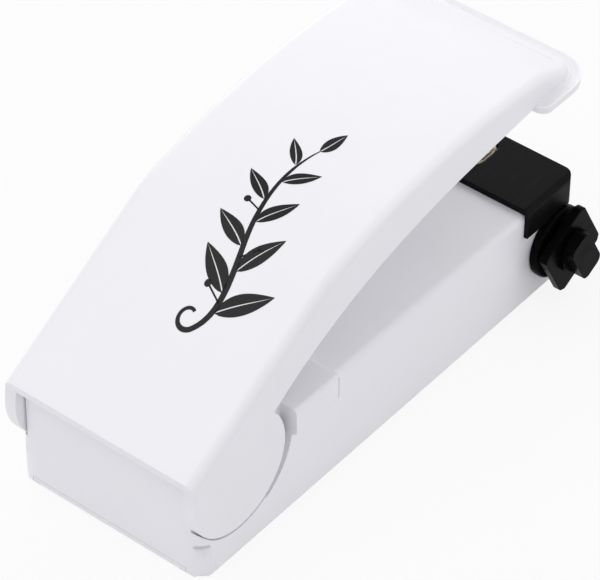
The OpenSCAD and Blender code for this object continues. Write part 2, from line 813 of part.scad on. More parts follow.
module shaft_clip() {
    y1 = shaft_boss_y - 1.5 * touch;
    color(steel) difference() {
        rod_y(knob_x, knob_z, clip_r, -y1, -y1 + clip_t);
        rod_y(knob_x, knob_z, shaft_r - clip_bite + press_gap, -far, 0);
        block([knob_x, -far, knob_z - clip_mouth], [knob_x + far, 0, knob_z + clip_mouth]);
    }
}

module contact_arm() {
    color(brass) difference() {
        union() {
            rod_y(knob_x, knob_z, eye_r, -arm_y, -arm_y + arm_t);
            block([knob_x - arm_half, -arm_y, knob_z - arm_len], [knob_x + arm_half, -arm_y + arm_t, knob_z]);
        }
        rod_y(knob_x, knob_z, shaft_r + press_gap, -far, 0);
    }
}

// A finger that the arm swings up to, and a leaf that stands at the tip of the shaft
module safety_contacts() {
    finger_x = knob_x - arm_len - 1.5 * free_gap;
    color(brass) {
        block([front_room_x, arm_mid_y - finger_half, knob_z - finger_rise],
            [front_room_x + plate_gauge, arm_mid_y + finger_half, knob_z + finger_rise]);
        block([front_room_x, arm_mid_y - finger_half / 2, knob_z - finger_half / 2],
            [finger_x, arm_mid_y + finger_half / 2, knob_z + finger_half / 2]);
        block([knob_x - leaf_half, leaf_y, wall], [knob_x + leaf_half, leaf_y + plate_gauge, knob_z + shaft_r]);
    }
}

// Lever ------------------------------------------------------------------------------------

// Turns what is drawn for the closed lever up to the open pose, about the hinge
module opened() {
    translate([0, 0, hinge_z]) rotate([0, -open_angle, 0]) children();
}

// Height of the lever's top above the hinge axis, and its slope there, at a distance ahead
function arc_z(c, r, x) = c[1] + sqrt(r * r - pow(x - c[0], 2));
function top_z(x) = x < p_bend[0] ? lever_rear[1] + (x - lever_rear[0]) * tan(a_rear) :
    x < p_arch[0] ? arc_z(centre(p_bend, a_rear, bend_r), bend_r, x) :
    x < p_crease[0] ? arc_z(centre(p_arch, a_arch, arch_r), arch_r, x) :
    x < p_nose[0] ? arc_z(centre(p_crease, a_crease, crease_r), crease_r, x) :
    p_nose[1] + (x - p_nose[0]) * tan(a_nose);
function top_slope(x) = atan((top_z(x + eps) - top_z(x - eps)) / (2 * eps));
function roof_z(x, depth) = top_z(x) - depth / cos(top_slope(x));

// Height of the skirts' lower edge: a smooth rise from the ear and fall to the rim
function skirt_z(x) = let (run = skirt_d[0] - skirt_a[0], u = (x - skirt_a[0]) / run)
    u < 0 ? skirt_a[1] : u > 1 ? skirt_d[1] - (x - skirt_d[0]) * tan(open_angle) :
    skirt_a[1] * (1 + 2 * u) * pow(1 - u, 2) + skirt_d[1] * u * u * (3 - 2 * u)
        + run * (skirt_rise * u * pow(1 - u, 2) + skirt_fall * u * u * (1 - u));

// Half width of the lever, rounded in at the nose's corners
function half_at(x) = let (r = brim_corner_r - brim_reach, d = max(0, x - (p_tip[0] - r)))
    lever_w / 2 - r + sqrt(max(0, r * r - d * d));

// Places along the lever where its section is drawn
function spread(a, b, n) = [for (i = [0:n - 1]) a + (b - a) * i / n];
function stations() = concat(spread(lever_rear[0], skirt_a[0], 3), spread(skirt_a[0], p_bend[0], 4),
    spread(p_bend[0], p_arch[0], 4), spread(p_arch[0], p_crease[0], 14), spread(p_crease[0], p_nose[0], 3),
    spread(p_nose[0], p_tip[0] - nose_round, 2), [for (a = [0:15:75]) p_tip[0] - nose_round * (1 - sin(a))]);

// One wall of the section's line, out by half and up to top, with its corners rounded by r
function wall_line(x, low, half, top, r) = concat([[x, -half, low]],
    [for (a = [180:-18:90]) [x, -half + r + r * cos(a), top - r + r * sin(a)]],
    [for (a = [90:-18:0]) [x, half - r + r * cos(a), top - r + r * sin(a)]], [[x, half, low]]);

// Roof and skirts in one section: the outer line, then the inner one
function section(x) = let (h = half_at(x), t = top_z(x), low = skirt_z(x), under = roof_z(x, roof_t),
    low_in = min(low, under - 0.4)) concat(wall_line(x, low, h, t, min(lever_edge_r, t - low - 0.1)),
    wall_line(x, low_in, h - skirt_t, under, 0.3));

module lever_body() {
    rows = [for (x = stations()) section(x)];
    n = len(rows[0]) / 2;
    end = (len(rows) - 1) * 2 * n;
    polyhedron([for (row = rows) each row], concat(
        [for (i = [0:len(rows) - 2], k = [0:n - 2]) let (a = 2 * n * i + k, b = a + 2 * n, c = a + n, d = b + n)
            each [[a, a + 1, b + 1], [a, b + 1, b], [c + 1, c, d], [c + 1, d, d + 1]]],
        [for (i = [0:len(rows) - 2]) let (a = 2 * n * i, b = a + 2 * n)
            each [[a + n, a, b], [a + n, b, b + n],
                [a + n - 1, a + 2 * n - 1, b + 2 * n - 1], [a + n - 1, b + 2 * n - 1, b + n - 1]]],
        [for (k = [0:n - 2]) each [[k + 1, k, k + n], [k + 1, k + n, k + n + 1]]],
        [for (k = [0:n - 2]) each [[end + k, end + k + 1, end + k + n + 1],
            [end + k, end + k + n + 1, end + k + n]]]), convexity = 8);
}

// Flat cheek from the skirt down round the hinge
module ear_plate() {
    steps = 24;
    heel_angle = 180 - open_angle;
    drop = lever_edge_r + eps;
    along_y(lever_w / 2 - skirt_t, lever_w / 2)
        polygon(concat([[lever_rear[0], lever_rear[1] - drop], [skirt_a[0], top_z(skirt_a[0]) - drop]],
            [for (i = [0:steps]) let (a = skirt_start - i / steps * (skirt_start + 360 - heel_angle))
                ear_r * [cos(a), sin(a)]]));
}

// Rim round the nose, level when the lever is open
module brim() {
    half = lever_w / 2 + brim_reach;
    len = brim_len;
    translate([p_tip[0], 0, p_tip[1]]) rotate([0, open_angle, 0]) translate([0, 0, -brim_t])
        linear_extrude(brim_t)
        difference() {
            intersection() {
                translate([brim_front - far / 2, 0]) round_rect(far, 2 * half, brim_corner_r);
                translate([brim_front - len, -far / 2]) square([len, far]);
            }
            translate([-far - brim_bar, -lever_w / 2 + skirt_t]) square([far, lever_w - 2 * skirt_t]);
        }
}

// Everything below the middle of the roof
module under_roof() {
    along_y(-half_w, half_w) polygon(concat([for (x = stations()) [x, roof_z(x, roof_t / 2)]],
        [[p_tip[0], -far], [lever_rear[0], -far]]));
}

module lever_shell() {
    pin_half = lever_w / 2 - skirt_t;
    press_z = plunger_top_z - plunger_travel + free_gap - hinge_z;
    color(white) {
        opened() {
            lever_body();
            at_sides() ear_plate();
            brim();
            intersection() {
                block([spring_x - rib_half, switch_y - rib_half, press_z],
                    [spring_x + rib_half, switch_y + rib_half, far]);
                under_roof();
            }
            intersection() {
                bar(heater_x - mount_half, heater_x + mount_half, pad_w / 2 + holder_end,
                    holder_top - hinge_z, far);
                under_roof();
            }
        }
        intersection() {
            translate([spring_x, 0, 0]) {
                translate([0, 0, seat_z]) cylinder(r = seat_r, h = far);
                translate([0, 0, seat_z - spigot_len]) cylinder(r = spigot_r, h = spigot_len + 1);
            }
            opened() under_roof();
        }
        at_sides() rod_y(0, hinge_z, peg_r, pin_half - peg_len, pin_half + eps);
    }
}

module pad_holder() {
    half = pad_w / 2 + holder_end;
    color(black) opened() translate([heater_x, 0, -hinge_z]) difference() {
        bar(-pad_len / 2 - lip_w, pad_len / 2 + lip_w, half, pad_z1 - pad_sink, holder_top);
        bar(-pad_len / 2 - press_gap, pad_len / 2 + press_gap, pad_w / 2 + press_gap, 0, pad_z1);
        for (s = [-1, 1]) translate([0, s * pad_screw_y, 0]) {
            cylinder(r = pad_screw_r + touch, h = far);
            cylinder(r = pad_head_r + touch, h = pad_z1 - pad_sink + head_h);
        }
    }
}

module press_pad() {
    color([0.72, 0.25, 0.18]) opened() translate([heater_x, 0, -hinge_z])
        bar(-pad_len / 2, pad_len / 2, pad_w / 2, pad_z0, pad_z1);
}

module pad_screws() {
    z0 = pad_z1 - pad_sink + head_h;
    color(steel) opened() for (s = [-1, 1]) translate([heater_x, s * pad_screw_y, z0 - hinge_z]) {
        translate([0, 0, -pad_head_h]) cylinder(r = pad_head_r, h = pad_head_h);
        translate([0, 0, -eps]) cylinder(r = pad_screw_r, h = holder_top - z0);
    }
}

// Leads ------------------------------------------------------------------------------------

module lead(path, shade) {
    color(shade) tube(smooth(path, 4), wire_r, tube_sides);
}

module lead_heater() {
    lead(heater_wire, [0.75, 0.1, 0.08]);
}

module lead_jumper() {
    lead(jumper_wire, [0.75, 0.1, 0.08]);
}

module lead_switch() {
    lead(switch_wire, [0.75, 0.1, 0.08]);
}

module lead_return() {
    lead(return_wire, [0.12, 0.12, 0.12]);
}

base_housing();
base_tray();
battery_door();
jaw_cover();
heater_block();
heating_strip();
heat_tape();
strip_clamps();
cell_left();
cell_right();
rear_bridge_contact();
front_positive_contact();
front_negative_contact();
rear_cell_spring();
front_cell_spring();
switch_block();
switch_contacts();
contact_plunger();
contact_bridge();
plunger_spring();
return_spring();
lever_shell();
pad_holder();
press_pad();
pad_screws();
knob_bezel();
knob_plate();
knob_grip();
knob_shaft();
shaft_clip();
contact_arm();
safety_contacts();
base_screws();
lead_heater();
lead_jumper();
lead_switch();
lead_return();
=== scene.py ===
import json
import math

import bmesh
import bpy
from mathutils import Matrix, Vector
from mathutils.bvhtree import BVHTree

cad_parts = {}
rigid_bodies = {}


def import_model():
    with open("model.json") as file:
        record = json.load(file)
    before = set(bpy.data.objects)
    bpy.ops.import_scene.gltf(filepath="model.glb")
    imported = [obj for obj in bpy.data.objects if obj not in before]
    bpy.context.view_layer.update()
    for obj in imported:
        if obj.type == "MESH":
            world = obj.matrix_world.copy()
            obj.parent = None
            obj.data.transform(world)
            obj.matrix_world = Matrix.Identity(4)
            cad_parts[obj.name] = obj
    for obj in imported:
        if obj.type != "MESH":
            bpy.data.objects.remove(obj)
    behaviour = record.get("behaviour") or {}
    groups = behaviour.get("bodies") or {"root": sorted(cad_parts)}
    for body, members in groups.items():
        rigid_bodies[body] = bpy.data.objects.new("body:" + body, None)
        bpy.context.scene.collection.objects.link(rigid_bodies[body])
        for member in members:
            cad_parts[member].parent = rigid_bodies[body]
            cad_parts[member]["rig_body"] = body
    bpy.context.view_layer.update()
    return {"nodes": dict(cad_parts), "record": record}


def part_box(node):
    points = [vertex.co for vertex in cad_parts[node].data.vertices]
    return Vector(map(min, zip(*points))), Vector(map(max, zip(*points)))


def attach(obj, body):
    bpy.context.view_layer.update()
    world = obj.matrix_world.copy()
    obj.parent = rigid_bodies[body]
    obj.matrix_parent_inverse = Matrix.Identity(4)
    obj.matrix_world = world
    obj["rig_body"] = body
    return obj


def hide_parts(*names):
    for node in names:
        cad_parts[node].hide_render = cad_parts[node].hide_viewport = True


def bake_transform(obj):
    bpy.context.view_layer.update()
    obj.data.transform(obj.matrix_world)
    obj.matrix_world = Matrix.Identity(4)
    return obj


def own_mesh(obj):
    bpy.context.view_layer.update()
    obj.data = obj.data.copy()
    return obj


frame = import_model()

bpy.ops.object.select_all(action="DESELECT")
mm = 0.001

# Camera ------------------------------------------------------------------------------------
# A long lens looks down on the sealer's right rear corner, so its sides stay nearly parallel.
camera_turn, camera_tilt, camera_roll = (math.radians(a) for a in (-51.35, 42.04, 0.46))
ahead = Vector((-math.sin(camera_turn) * math.cos(camera_tilt), math.cos(camera_turn) * math.cos(camera_tilt),
                -math.sin(camera_tilt)))
right = Vector((math.cos(camera_turn), math.sin(camera_turn), 0.0))
above = right.cross(ahead)
camera_x, camera_y, camera_z = -321.1 * mm, -288.7 * mm, 434.7 * mm
right, above = (math.cos(camera_roll) * right + math.sin(camera_roll) * above,
                math.cos(camera_roll) * above - math.sin(camera_roll) * right)
bpy.ops.object.camera_add()
camera = bpy.context.object
camera.name = "camera"
camera.matrix_world = Matrix((
    (right.x, above.x, -ahead.x, camera_x),
    (right.y, above.y, -ahead.y, camera_y),
    (right.z, above.z, -ahead.z, camera_z),
    (0.0, 0.0, 0.0, 1.0)))
camera.data.lens = 223.0
camera.data.sensor_width = 36.0
camera.data.clip_start = 0.01
bpy.context.scene.camera = camera

# Studio ------------------------------------------------------------------------------------
# A pale tent: an even sky, a broad lamp overhead, two low ones ahead that reach under the lever, and
# a white floor that keeps a soft shadow.
bpy.context.scene.view_settings.view_transform = "Standard"


def linear(code):
    """An sRGB hex colour as the linear colour that a shader takes."""
    parts = [int(code[i:i + 2], 16) / 255 for i in (0, 2, 4)]
    return [c / 12.92 if c <= 0.04045 else ((c + 0.055) / 1.055) ** 2.4 for c in parts] + [1.0]


def add_node(tree, kind, inputs=None, **settings):
    """Adds a node with its own settings. An input is a value, or another node's socket to link."""
    made = tree.nodes.new(kind)
    for name, value in settings.items():
        setattr(made, name, value)
    for name, value in (inputs or {}).items():
        if isinstance(value, bpy.types.NodeSocket):
            tree.links.new(value, made.inputs[name])
        else:
            made.inputs[name].default_value = value
    return made


def new_material(name):
    """An empty node material, its tree and its output node."""
    made = bpy.data.materials.new(name)
    made.use_nodes = True
    made.node_tree.nodes.clear()
    return made, made.node_tree, made.node_tree.nodes.new("ShaderNodeOutputMaterial")


def seen_directly(tree):
    """1 for a ray from the camera, or one mirrored or let through by the object, and 0 for light."""
    ray = add_node(tree, "ShaderNodeLightPath")
    either = add_node(tree, "ShaderNodeMath", {0: ray.outputs["Is Camera Ray"],
                                               1: ray.outputs["Is Glossy Ray"]}, operation="MAXIMUM")
    return add_node(tree, "ShaderNodeMath", {0: either.outputs[0], 1: ray.outputs["Is Transmission Ray"]},
                    operation="MAXIMUM").outputs[0]


world = bpy.data.worlds.new("tent")
bpy.context.scene.world = world
world.use_nodes = True
world.node_tree.nodes.clear()
lit = add_node(world.node_tree, "ShaderNodeBackground", {"Color": linear("F9F9FD"), "Strength": 0.70})
white = add_node(world.node_tree, "ShaderNodeBackground", {"Color": linear("FFFFFF"), "Strength": 1.0})
sky = add_node(world.node_tree, "ShaderNodeMixShader", {0: seen_directly(world.node_tree), 1: lit.outputs[0],
                                                       2: white.outputs[0]})
add_node(world.node_tree, "ShaderNodeOutputWorld", {"Surface": sky.outputs[0]})

lamp_aim = Vector((0.04, 0.0, 0.02))
for name, place, size, energy in (("broad_lamp", (-0.25, 0.3, 0.85), 0.7, 1.9),
                                  ("low_lamp", (0.56, -0.43, 0.56), 0.6, 0.7),
                                  ("far_lamp", (0.52, 0.57, 0.32), 0.6, 1.1)):
    bpy.ops.object.light_add(type="AREA", location=place)
    lamp = bpy.context.object
    lamp.name = name
    lamp.data.shape = "DISK"
    lamp.data.size = size
    lamp.data.energy = energy
    lamp.rotation_euler = (lamp_aim - lamp.location).to_track_quat("-Z", "Y").to_euler()

floor_width, floor_drop = 6.0, 0.02 * mm
bpy.ops.mesh.primitive_plane_add(size=floor_width, location=(0.0, 0.0, -floor_drop))
floor = bpy.context.object
floor.name = "floor"
bpy.ops.object.transform_apply(location=True)
paper, tree, out = new_material("white_paper_floor")
# Seen directly, the floor is mostly a plain white glow, and the rest is paper that takes the shadow.
pale = add_node(tree, "ShaderNodeMath", {0: seen_directly(tree), 1: 0.86}, operation="MULTIPLY")
shade = add_node(tree, "ShaderNodeBsdfDiffuse", {"Color": linear("F2F2F4")})
glow = add_node(tree, "ShaderNodeEmission", {"Color": linear("FFFFFF"), "Strength": 1.0})
mix = add_node(tree, "ShaderNodeMixShader", {0: pale.outputs[0], 1: shade.outputs[0], 2: glow.outputs[0]})
tree.links.new(mix.outputs[0], out.inputs["Surface"])
floor.data.materials.append(paper)

# Housing -----------------------------------------------------------------------------------
# The base's upper half, injection-moulded in white ABS. It has the bores for the lever's pegs, holds
# the cells and the jaw, and is clamped to the tray by four screws from below.

# Moulded white ABS from a fine-sparked tool: a satin skin with a faint orange peel, and very slight
# changes of tone and gloss.
white_abs, tree, out = new_material("moulded_white_abs")
place = add_node(tree, "ShaderNodeTexCoord").outputs["Object"]
tone = add_node(tree, "ShaderNodeTexNoise", {"Vector": place, "Scale": 1 / (14 * mm), "Detail": 4.0,
                                            "Roughness": 0.6}).outputs["Fac"]
colour = add_node(tree, "ShaderNodeMix", {0: tone, 6: linear("F4F4F6"), 7: linear("FAFAFC")},
                  data_type="RGBA")
peel = add_node(tree, "ShaderNodeTexNoise", {"Vector": place, "Scale": 1 / (0.6 * mm), "Detail": 2.0})
bump = add_node(tree, "ShaderNodeBump", {"Height": peel.outputs["Fac"], "Strength": 0.12,
                                         "Distance": 0.05 * mm})
gloss = add_node(tree, "ShaderNodeMapRange", {"Value": tone, "To Min": 0.34, "To Max": 0.48})
skin = add_node(tree, "ShaderNodeBsdfPrincipled", {"Base Color": colour.outputs[2], "IOR": 1.53,
                                                   "Roughness": gloss.outputs[0], "Normal": bump.outputs[0]})
tree.links.new(skin.outputs[0], out.inputs["Surface"])

body_of_node = {node: body for body, nodes in frame["record"]["behaviour"]["bodies"].items()
                for node in nodes}


def moulding_from(node_name, piece_name):
    """A copy of a CAD piece with its doubles merged and its flat faces whole."""
    bpy.ops.object.select_all(action="DESELECT")
    frame["nodes"][node_name].select_set(True)
    bpy.context.view_layer.objects.active = frame["nodes"][node_name]
    bpy.ops.object.duplicate()
    piece = bpy.context.object
    piece.name = piece_name
    piece.parent = None
    for key in list(piece.keys()):
        del piece[key]
    piece.data = piece.data.copy()
    bpy.ops.object.mode_set(mode="EDIT")
    bpy.ops.mesh.select_all(action="SELECT")
    bpy.ops.mesh.remove_doubles(threshold=0.002 * mm)
    bpy.ops.mesh.dissolve_limited(angle_limit=math.radians(1.0))
    bpy.ops.object.mode_set(mode="OBJECT")
    bpy.ops.mesh.customdata_custom_splitnormals_clear()
    return piece


def cut_with(piece, cutter):
    """Takes the cutter's volume out of the piece."""
    cut = piece.modifiers.new("cut", "BOOLEAN")
    cut.operation = "DIFFERENCE"
    cut.solver = "EXACT"
    cut.object = cutter
    bpy.context.view_layer.objects.active = piece
    bpy.ops.object.modifier_apply(modifier=cut.name)
    bpy.data.objects.remove(cutter)


def break_edges(piece, width, segments=2):
    """Rounds every sharp corner, as a mould or a tumbler leaves them. With no width it only shades them."""
    sharp = math.radians(38.0)
    bpy.ops.object.select_all(action="DESELECT")
    piece.select_set(True)
    bpy.context.view_layer.objects.active = piece
    if width:
        edge = piece.modifiers.new("edge", "BEVEL")
        edge.width = width
        edge.segments = segments
        edge.limit_method = "ANGLE"
        edge.angle_limit = sharp
        bpy.ops.object.modifier_apply(modifier=edge.name)
    bpy.ops.object.shade_smooth_by_angle(angle=sharp)
    even = piece.modifiers.new("even", "WEIGHTED_NORMAL")
    even.keep_sharp = True
    even.weight = 100
    bpy.ops.object.modifier_apply(modifier=even.name)


def fit(piece, node_name, *materials):
    """Gives the piece its material, and the place and body of its CAD piece."""
    piece.data.materials.clear()
    for material in materials:
        piece.data.materials.append(material)
    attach(piece, body_of_node[node_name])
    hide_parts(node_name)


def block(low, high):
    """A box between two corners, in mm."""
    bpy.ops.object.select_all(action="DESELECT")
    bpy.ops.mesh.primitive_cube_add(size=1.0, location=[(a + b) / 2 * mm for a, b in zip(low, high)],
                                    scale=[(b - a) * mm for a, b in zip(low, high)])
    made = bpy.context.object
    bpy.ops.object.transform_apply(location=True, rotation=True, scale=True)
    return made


def rod(axis, start, end, radius, sides=48):
    """A cylinder from start, in mm, along the axis x, y or z to the coordinate end."""
    bpy.ops.object.select_all(action="DESELECT")
    which = "xyz".index(axis)
    middle = list(start)
    middle[which] = (start[which] + end) / 2
    turn = {"x": (0, math.pi / 2, 0), "y": (math.pi / 2, 0, 0), "z": (0, 0, 0)}[axis]
    bpy.ops.mesh.primitive_cylinder_add(vertices=sides, radius=radius * mm,
                                        depth=abs(end - start[which]) * mm,
                                        location=[v * mm for v in middle], rotation=turn)
    made = bpy.context.object
    bpy.ops.object.transform_apply(location=True, rotation=True, scale=True)
    return made


def select_edges(piece, wanted):
    """In edit mode, selects only the edges for which wanted(edge) holds."""
    bpy.ops.mesh.select_mode(type="EDGE")
    shape = bmesh.from_edit_mesh(piece.data)
    for face in shape.faces:
        face.select = False
    for edge in shape.edges:
        edge.select = bool(wanted(edge))
    shape.select_flush(True)
    bmesh.update_edit_mesh(piece.data)


# The lever's ears turn beside the neck. Round each, the wall is cut back in an arc that is a little
# larger and higher than the ear. Ahead of the arc are a round hole and a gap as far as the saddle.
hinge_z, ear_r, neck_half = 17.6, 11.4, 17.4
ear_room, ear_ahead, ear_up = 1.2, 0.6, 0.8
hole_x, hole_z, hole_r, hole_from = 10.5, 18.0, 2.6, 13.0
gap_start, gap_foot = 7.9, 18.0
saddle_start, saddle_end, saddle_side, saddle_foot, saddle_top = 13.1, 24.7, 21.0, 16.8, 22.4
saddle_r = 0.9
clear = 30.0
housing = moulding_from("base_housing", "housing")
for side in (1, -1):
    cut_with(housing, rod("y", (ear_ahead, side * neck_half, hinge_z + ear_up), side * clear,
                          ear_r + ear_room, sides=96))
    cut_with(housing, rod("y", (hole_x, side * hole_from, hole_z), side * clear, hole_r, sides=64))
    low, high = sorted((side * neck_half, side * clear))
    cut_with(housing, block((gap_start, low, gap_foot), (saddle_start, high, clear)))
bpy.ops.object.mode_set(mode="EDIT")


def on_saddle(edge):
    """Whether an edge is an outer corner of a saddle block, but not at its rear end."""
    ends = [corner.co / mm for corner in edge.verts]
    return all(saddle_start - 0.3 < end.x < saddle_end + 0.1 and end.z > saddle_foot - 0.1
               and (abs(end.y) > saddle_side - 0.1 or end.z > saddle_top - 0.05) for end in ends) \
        and max(end.x for end in ends) > saddle_start + 0.1 \
        and edge.is_manifold and edge.calc_face_angle() > 0.6


select_edges(housing, on_saddle)
bpy.ops.mesh.bevel(offset=saddle_r * mm, segments=4)
bpy.ops.object.mode_set(mode="OBJECT")
break_edges(housing, 0.45 * mm, segments=3)
# A fine slit runs up each saddle just before its front end.
slit_start, slit_end, slit_depth = saddle_end - 0.85, saddle_end - 0.5, 0.8
for side in (1, -1):
    low, high = sorted((side * (saddle_side - slit_depth), side * clear))
    cut_with(housing, block((slit_start, low, saddle_foot + 0.2), (slit_end, high, saddle_top - 0.6)))
break_edges(housing, 0)
fit(housing, "base_housing", white_abs)

# Tray --------------------------------------------------------------------------------------
# The base's lower half, the same ABS, with a step round its rim that locates the housing.
tray = moulding_from("base_tray", "tray")
foot_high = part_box("base_tray")[1]
foot_r, floor_rim = 0.7 * mm, 2.2 * mm


def on_foot(edge):
    """Whether an edge runs round the tray's foot, where it meets the table."""
    return edge.is_manifold and edge.calc_face_angle() > 0.6 and all(
        corner.co.z < 0.05 * mm and (abs(corner.co.y) > foot_high[1] - floor_rim
                                     or corner.co.x > foot_high[0] - 0.1 * mm) for corner in edge.verts)


bpy.ops.object.mode_set(mode="EDIT")
select_edges(tray, on_foot)
bpy.ops.mesh.bevel(offset=foot_r, segments=4)
bpy.ops.object.mode_set(mode="OBJECT")
break_edges(tray, 0.3 * mm)
# A thin pry notch opens each rear corner of the joint line.
notch_start, notch_end, notch_from, notch_foot, notch_top = -12.0, -7.0, 17.7, 6.5, 7.05
for side in (1, -1):
    low, high = sorted((side * notch_from, side * clear))
    cut_with(tray, block((notch_start, low, notch_foot), (notch_end, high, notch_top)))
break_edges(tray, 0)
fit(tray, "base_tray", white_abs)

# Battery door ------------------------------------------------------------------------------
# A flat ABS slide in the tray's floor. It goes out to the rear, pushed by a thumb on its grooves.
door = moulding_from("battery_door", "door")
groove_count, groove_pitch, groove_start, groove_half, groove_r, groove_z = 5, 2.0, 2.2, 6.0, 0.7, -0.1
for i in range(groove_count):
    groove_x = groove_start + i * groove_pitch
    cut_with(door, rod("y", (groove_x, -groove_half, groove_z), groove_half, groove_r, sides=24))
break_edges(door, 0.1 * mm)
fit(door, "battery_door", white_abs)

# Jaw cover ---------------------------------------------------------------------------------
# A separate black moulding over the front of the deck. It hooks over the sides and frames the heater.

# Black plastic with a light sheen: nearly black, a fine mould grain, and paler rubbed streaks.
black_plastic, tree, out = new_material("moulded_black_plastic")
place = add_node(tree, "ShaderNodeTexCoord").outputs["Object"]
grain = add_node(tree, "ShaderNodeTexNoise", {"Vector": place, "Scale": 1 / (0.35 * mm), "Detail": 3.0})
bump = add_node(tree, "ShaderNodeBump", {"Height": grain.outputs["Fac"], "Strength": 0.2,
                                         "Distance": 0.05 * mm})
along = add_node(tree, "ShaderNodeMapping", {"Vector": place, "Rotation": (0.0, 0.0, math.radians(24)),
                                             "Scale": (1 / (9 * mm), 1 / (0.7 * mm), 1 / (4 * mm))})
streak = add_node(tree, "ShaderNodeTexNoise", {"Vector": along.outputs[0], "Scale": 1.0, "Detail": 5.0,
                                              "Roughness": 0.65})
rubbed = add_node(tree, "ShaderNodeMapRange", {"Value": streak.outputs["Fac"], "From Min": 0.55,
                                               "From Max": 0.75})
colour = add_node(tree, "ShaderNodeMix", {0: rubbed.outputs[0], 6: linear("0E0E0F"), 7: linear("1E1E1E")},
                  data_type="RGBA")
gloss = add_node(tree, "ShaderNodeMapRange", {"Value": streak.outputs["Fac"], "To Min": 0.3, "To Max": 0.52})
skin = add_node(tree, "ShaderNodeBsdfPrincipled", {
    "Base Color": colour.outputs[2], "IOR": 1.5, "Specular IOR Level": 0.055, "Roughness": gloss.outputs[0],
    "Normal": bump.outputs[0]})
tree.links.new(skin.outputs[0], out.inputs["Surface"])

cover = moulding_from("jaw_cover", "jaw_cover_piece")
break_edges(cover, 0.35 * mm, segments=3)
fit(cover, "jaw_cover", black_plastic)

# Heater ------------------------------------------------------------------------------------
# A moulded phenolic block stands in the cover's window. A resistance ribbon crosses its top, goes down
# through two slots, and is held below by two folded brass clamps.

# Moulded phenolic: pale, dead matt, with fine specks of its filler.
phenolic, tree, out = new_material("moulded_phenolic")
place = add_node(tree, "ShaderNodeTexCoord").outputs["Object"]
speck = add_node(tree, "ShaderNodeTexVoronoi", {"Vector": place, "Scale": 1 / (0.45 * mm)})
shade = add_node(tree, "ShaderNodeMapRange", {"Value": speck.outputs["Distance"], "From Max": 0.7})
colour = add_node(tree, "ShaderNodeMix", {0: shade.outputs[0], 6: linear("B9AF98"), 7: linear("CEC6B2")},
                  data_type="RGBA")
bump = add_node(tree, "ShaderNodeBump", {"Height": speck.outputs["Distance"], "Strength": 0.2,
                                         "Distance": 0.05 * mm})
skin = add_node(tree, "ShaderNodeBsdfPrincipled", {"Base Color": colour.outputs[2], "IOR": 1.55,
                                                   "Roughness": 0.75, "Normal": bump.outputs[0]})
tree.links.new(skin.outputs[0], out.inputs["Surface"])
heater_block = moulding_from("heater_block", "phenolic_block")
break_edges(heater_block, 0.2 * mm)
fit(heater_block, "heater_block", phenolic)

# Nichrome ribbon: a rolled metal, dull grey, tinted straw and blue by its own heat.
nichrome, tree, out = new_material("rolled_nichrome")
place = add_node(tree, "ShaderNodeTexCoord").outputs["Object"]
along = add_node(tree, "ShaderNodeMapping", {"Vector": place,
                                             "Scale": (1 / (0.15 * mm), 1 / (5 * mm), 1 / (5 * mm))})
lines = add_node(tree, "ShaderNodeTexNoise", {"Vector": along.outputs[0], "Scale": 1.0, "Detail": 3.0})
heat = add_node(tree, "ShaderNodeTexNoise", {"Vector": place, "Scale": 1 / (5 * mm), "Detail": 1.0})
tint = add_node(tree, "ShaderNodeValToRGB", {"Fac": heat.outputs["Fac"]})
tint.color_ramp.elements[0].position, tint.color_ramp.elements[0].color = 0.35, linear("8B7B66")
tint.color_ramp.elements[1].position, tint.color_ramp.elements[1].color = 0.62, linear("7A7C84")
gloss = add_node(tree, "ShaderNodeMapRange", {"Value": lines.outputs["Fac"], "To Min": 0.28, "To Max": 0.5})
skin = add_node(tree, "ShaderNodeBsdfPrincipled", {"Base Color": tint.outputs[0], "Metallic": 1.0,
                                                   "Roughness": gloss.outputs[0]})
tree.links.new(skin.outputs[0], out.inputs["Surface"])
ribbon = moulding_from("heating_strip", "ribbon")
break_edges(ribbon, 0.06 * mm)
fit(ribbon, "heating_strip", nichrome)

# Brass strip: warm yellow, bright in places and dulled in patches.
brass, tree, out = new_material("folded_brass")
place = add_node(tree, "ShaderNodeTexCoord").outputs["Object"]
dull = add_node(tree, "ShaderNodeTexNoise", {"Vector": place, "Scale": 1 / (1.5 * mm), "Detail": 4.0})
colour = add_node(tree, "ShaderNodeMix", {0: dull.outputs["Fac"], 6: linear("B08B45"), 7: linear("D2B06A")},
                  data_type="RGBA")
gloss = add_node(tree, "ShaderNodeMapRange", {"Value": dull.outputs["Fac"], "To Min": 0.45, "To Max": 0.22})
skin = add_node(tree, "ShaderNodeBsdfPrincipled", {"Base Color": colour.outputs[2], "Metallic": 1.0,
                                                   "Roughness": gloss.outputs[0]})
tree.links.new(skin.outputs[0], out.inputs["Surface"])
clamps = moulding_from("strip_clamps", "brass_clamps")
break_edges(clamps, 0.12 * mm)
fit(clamps, "strip_clamps", brass)

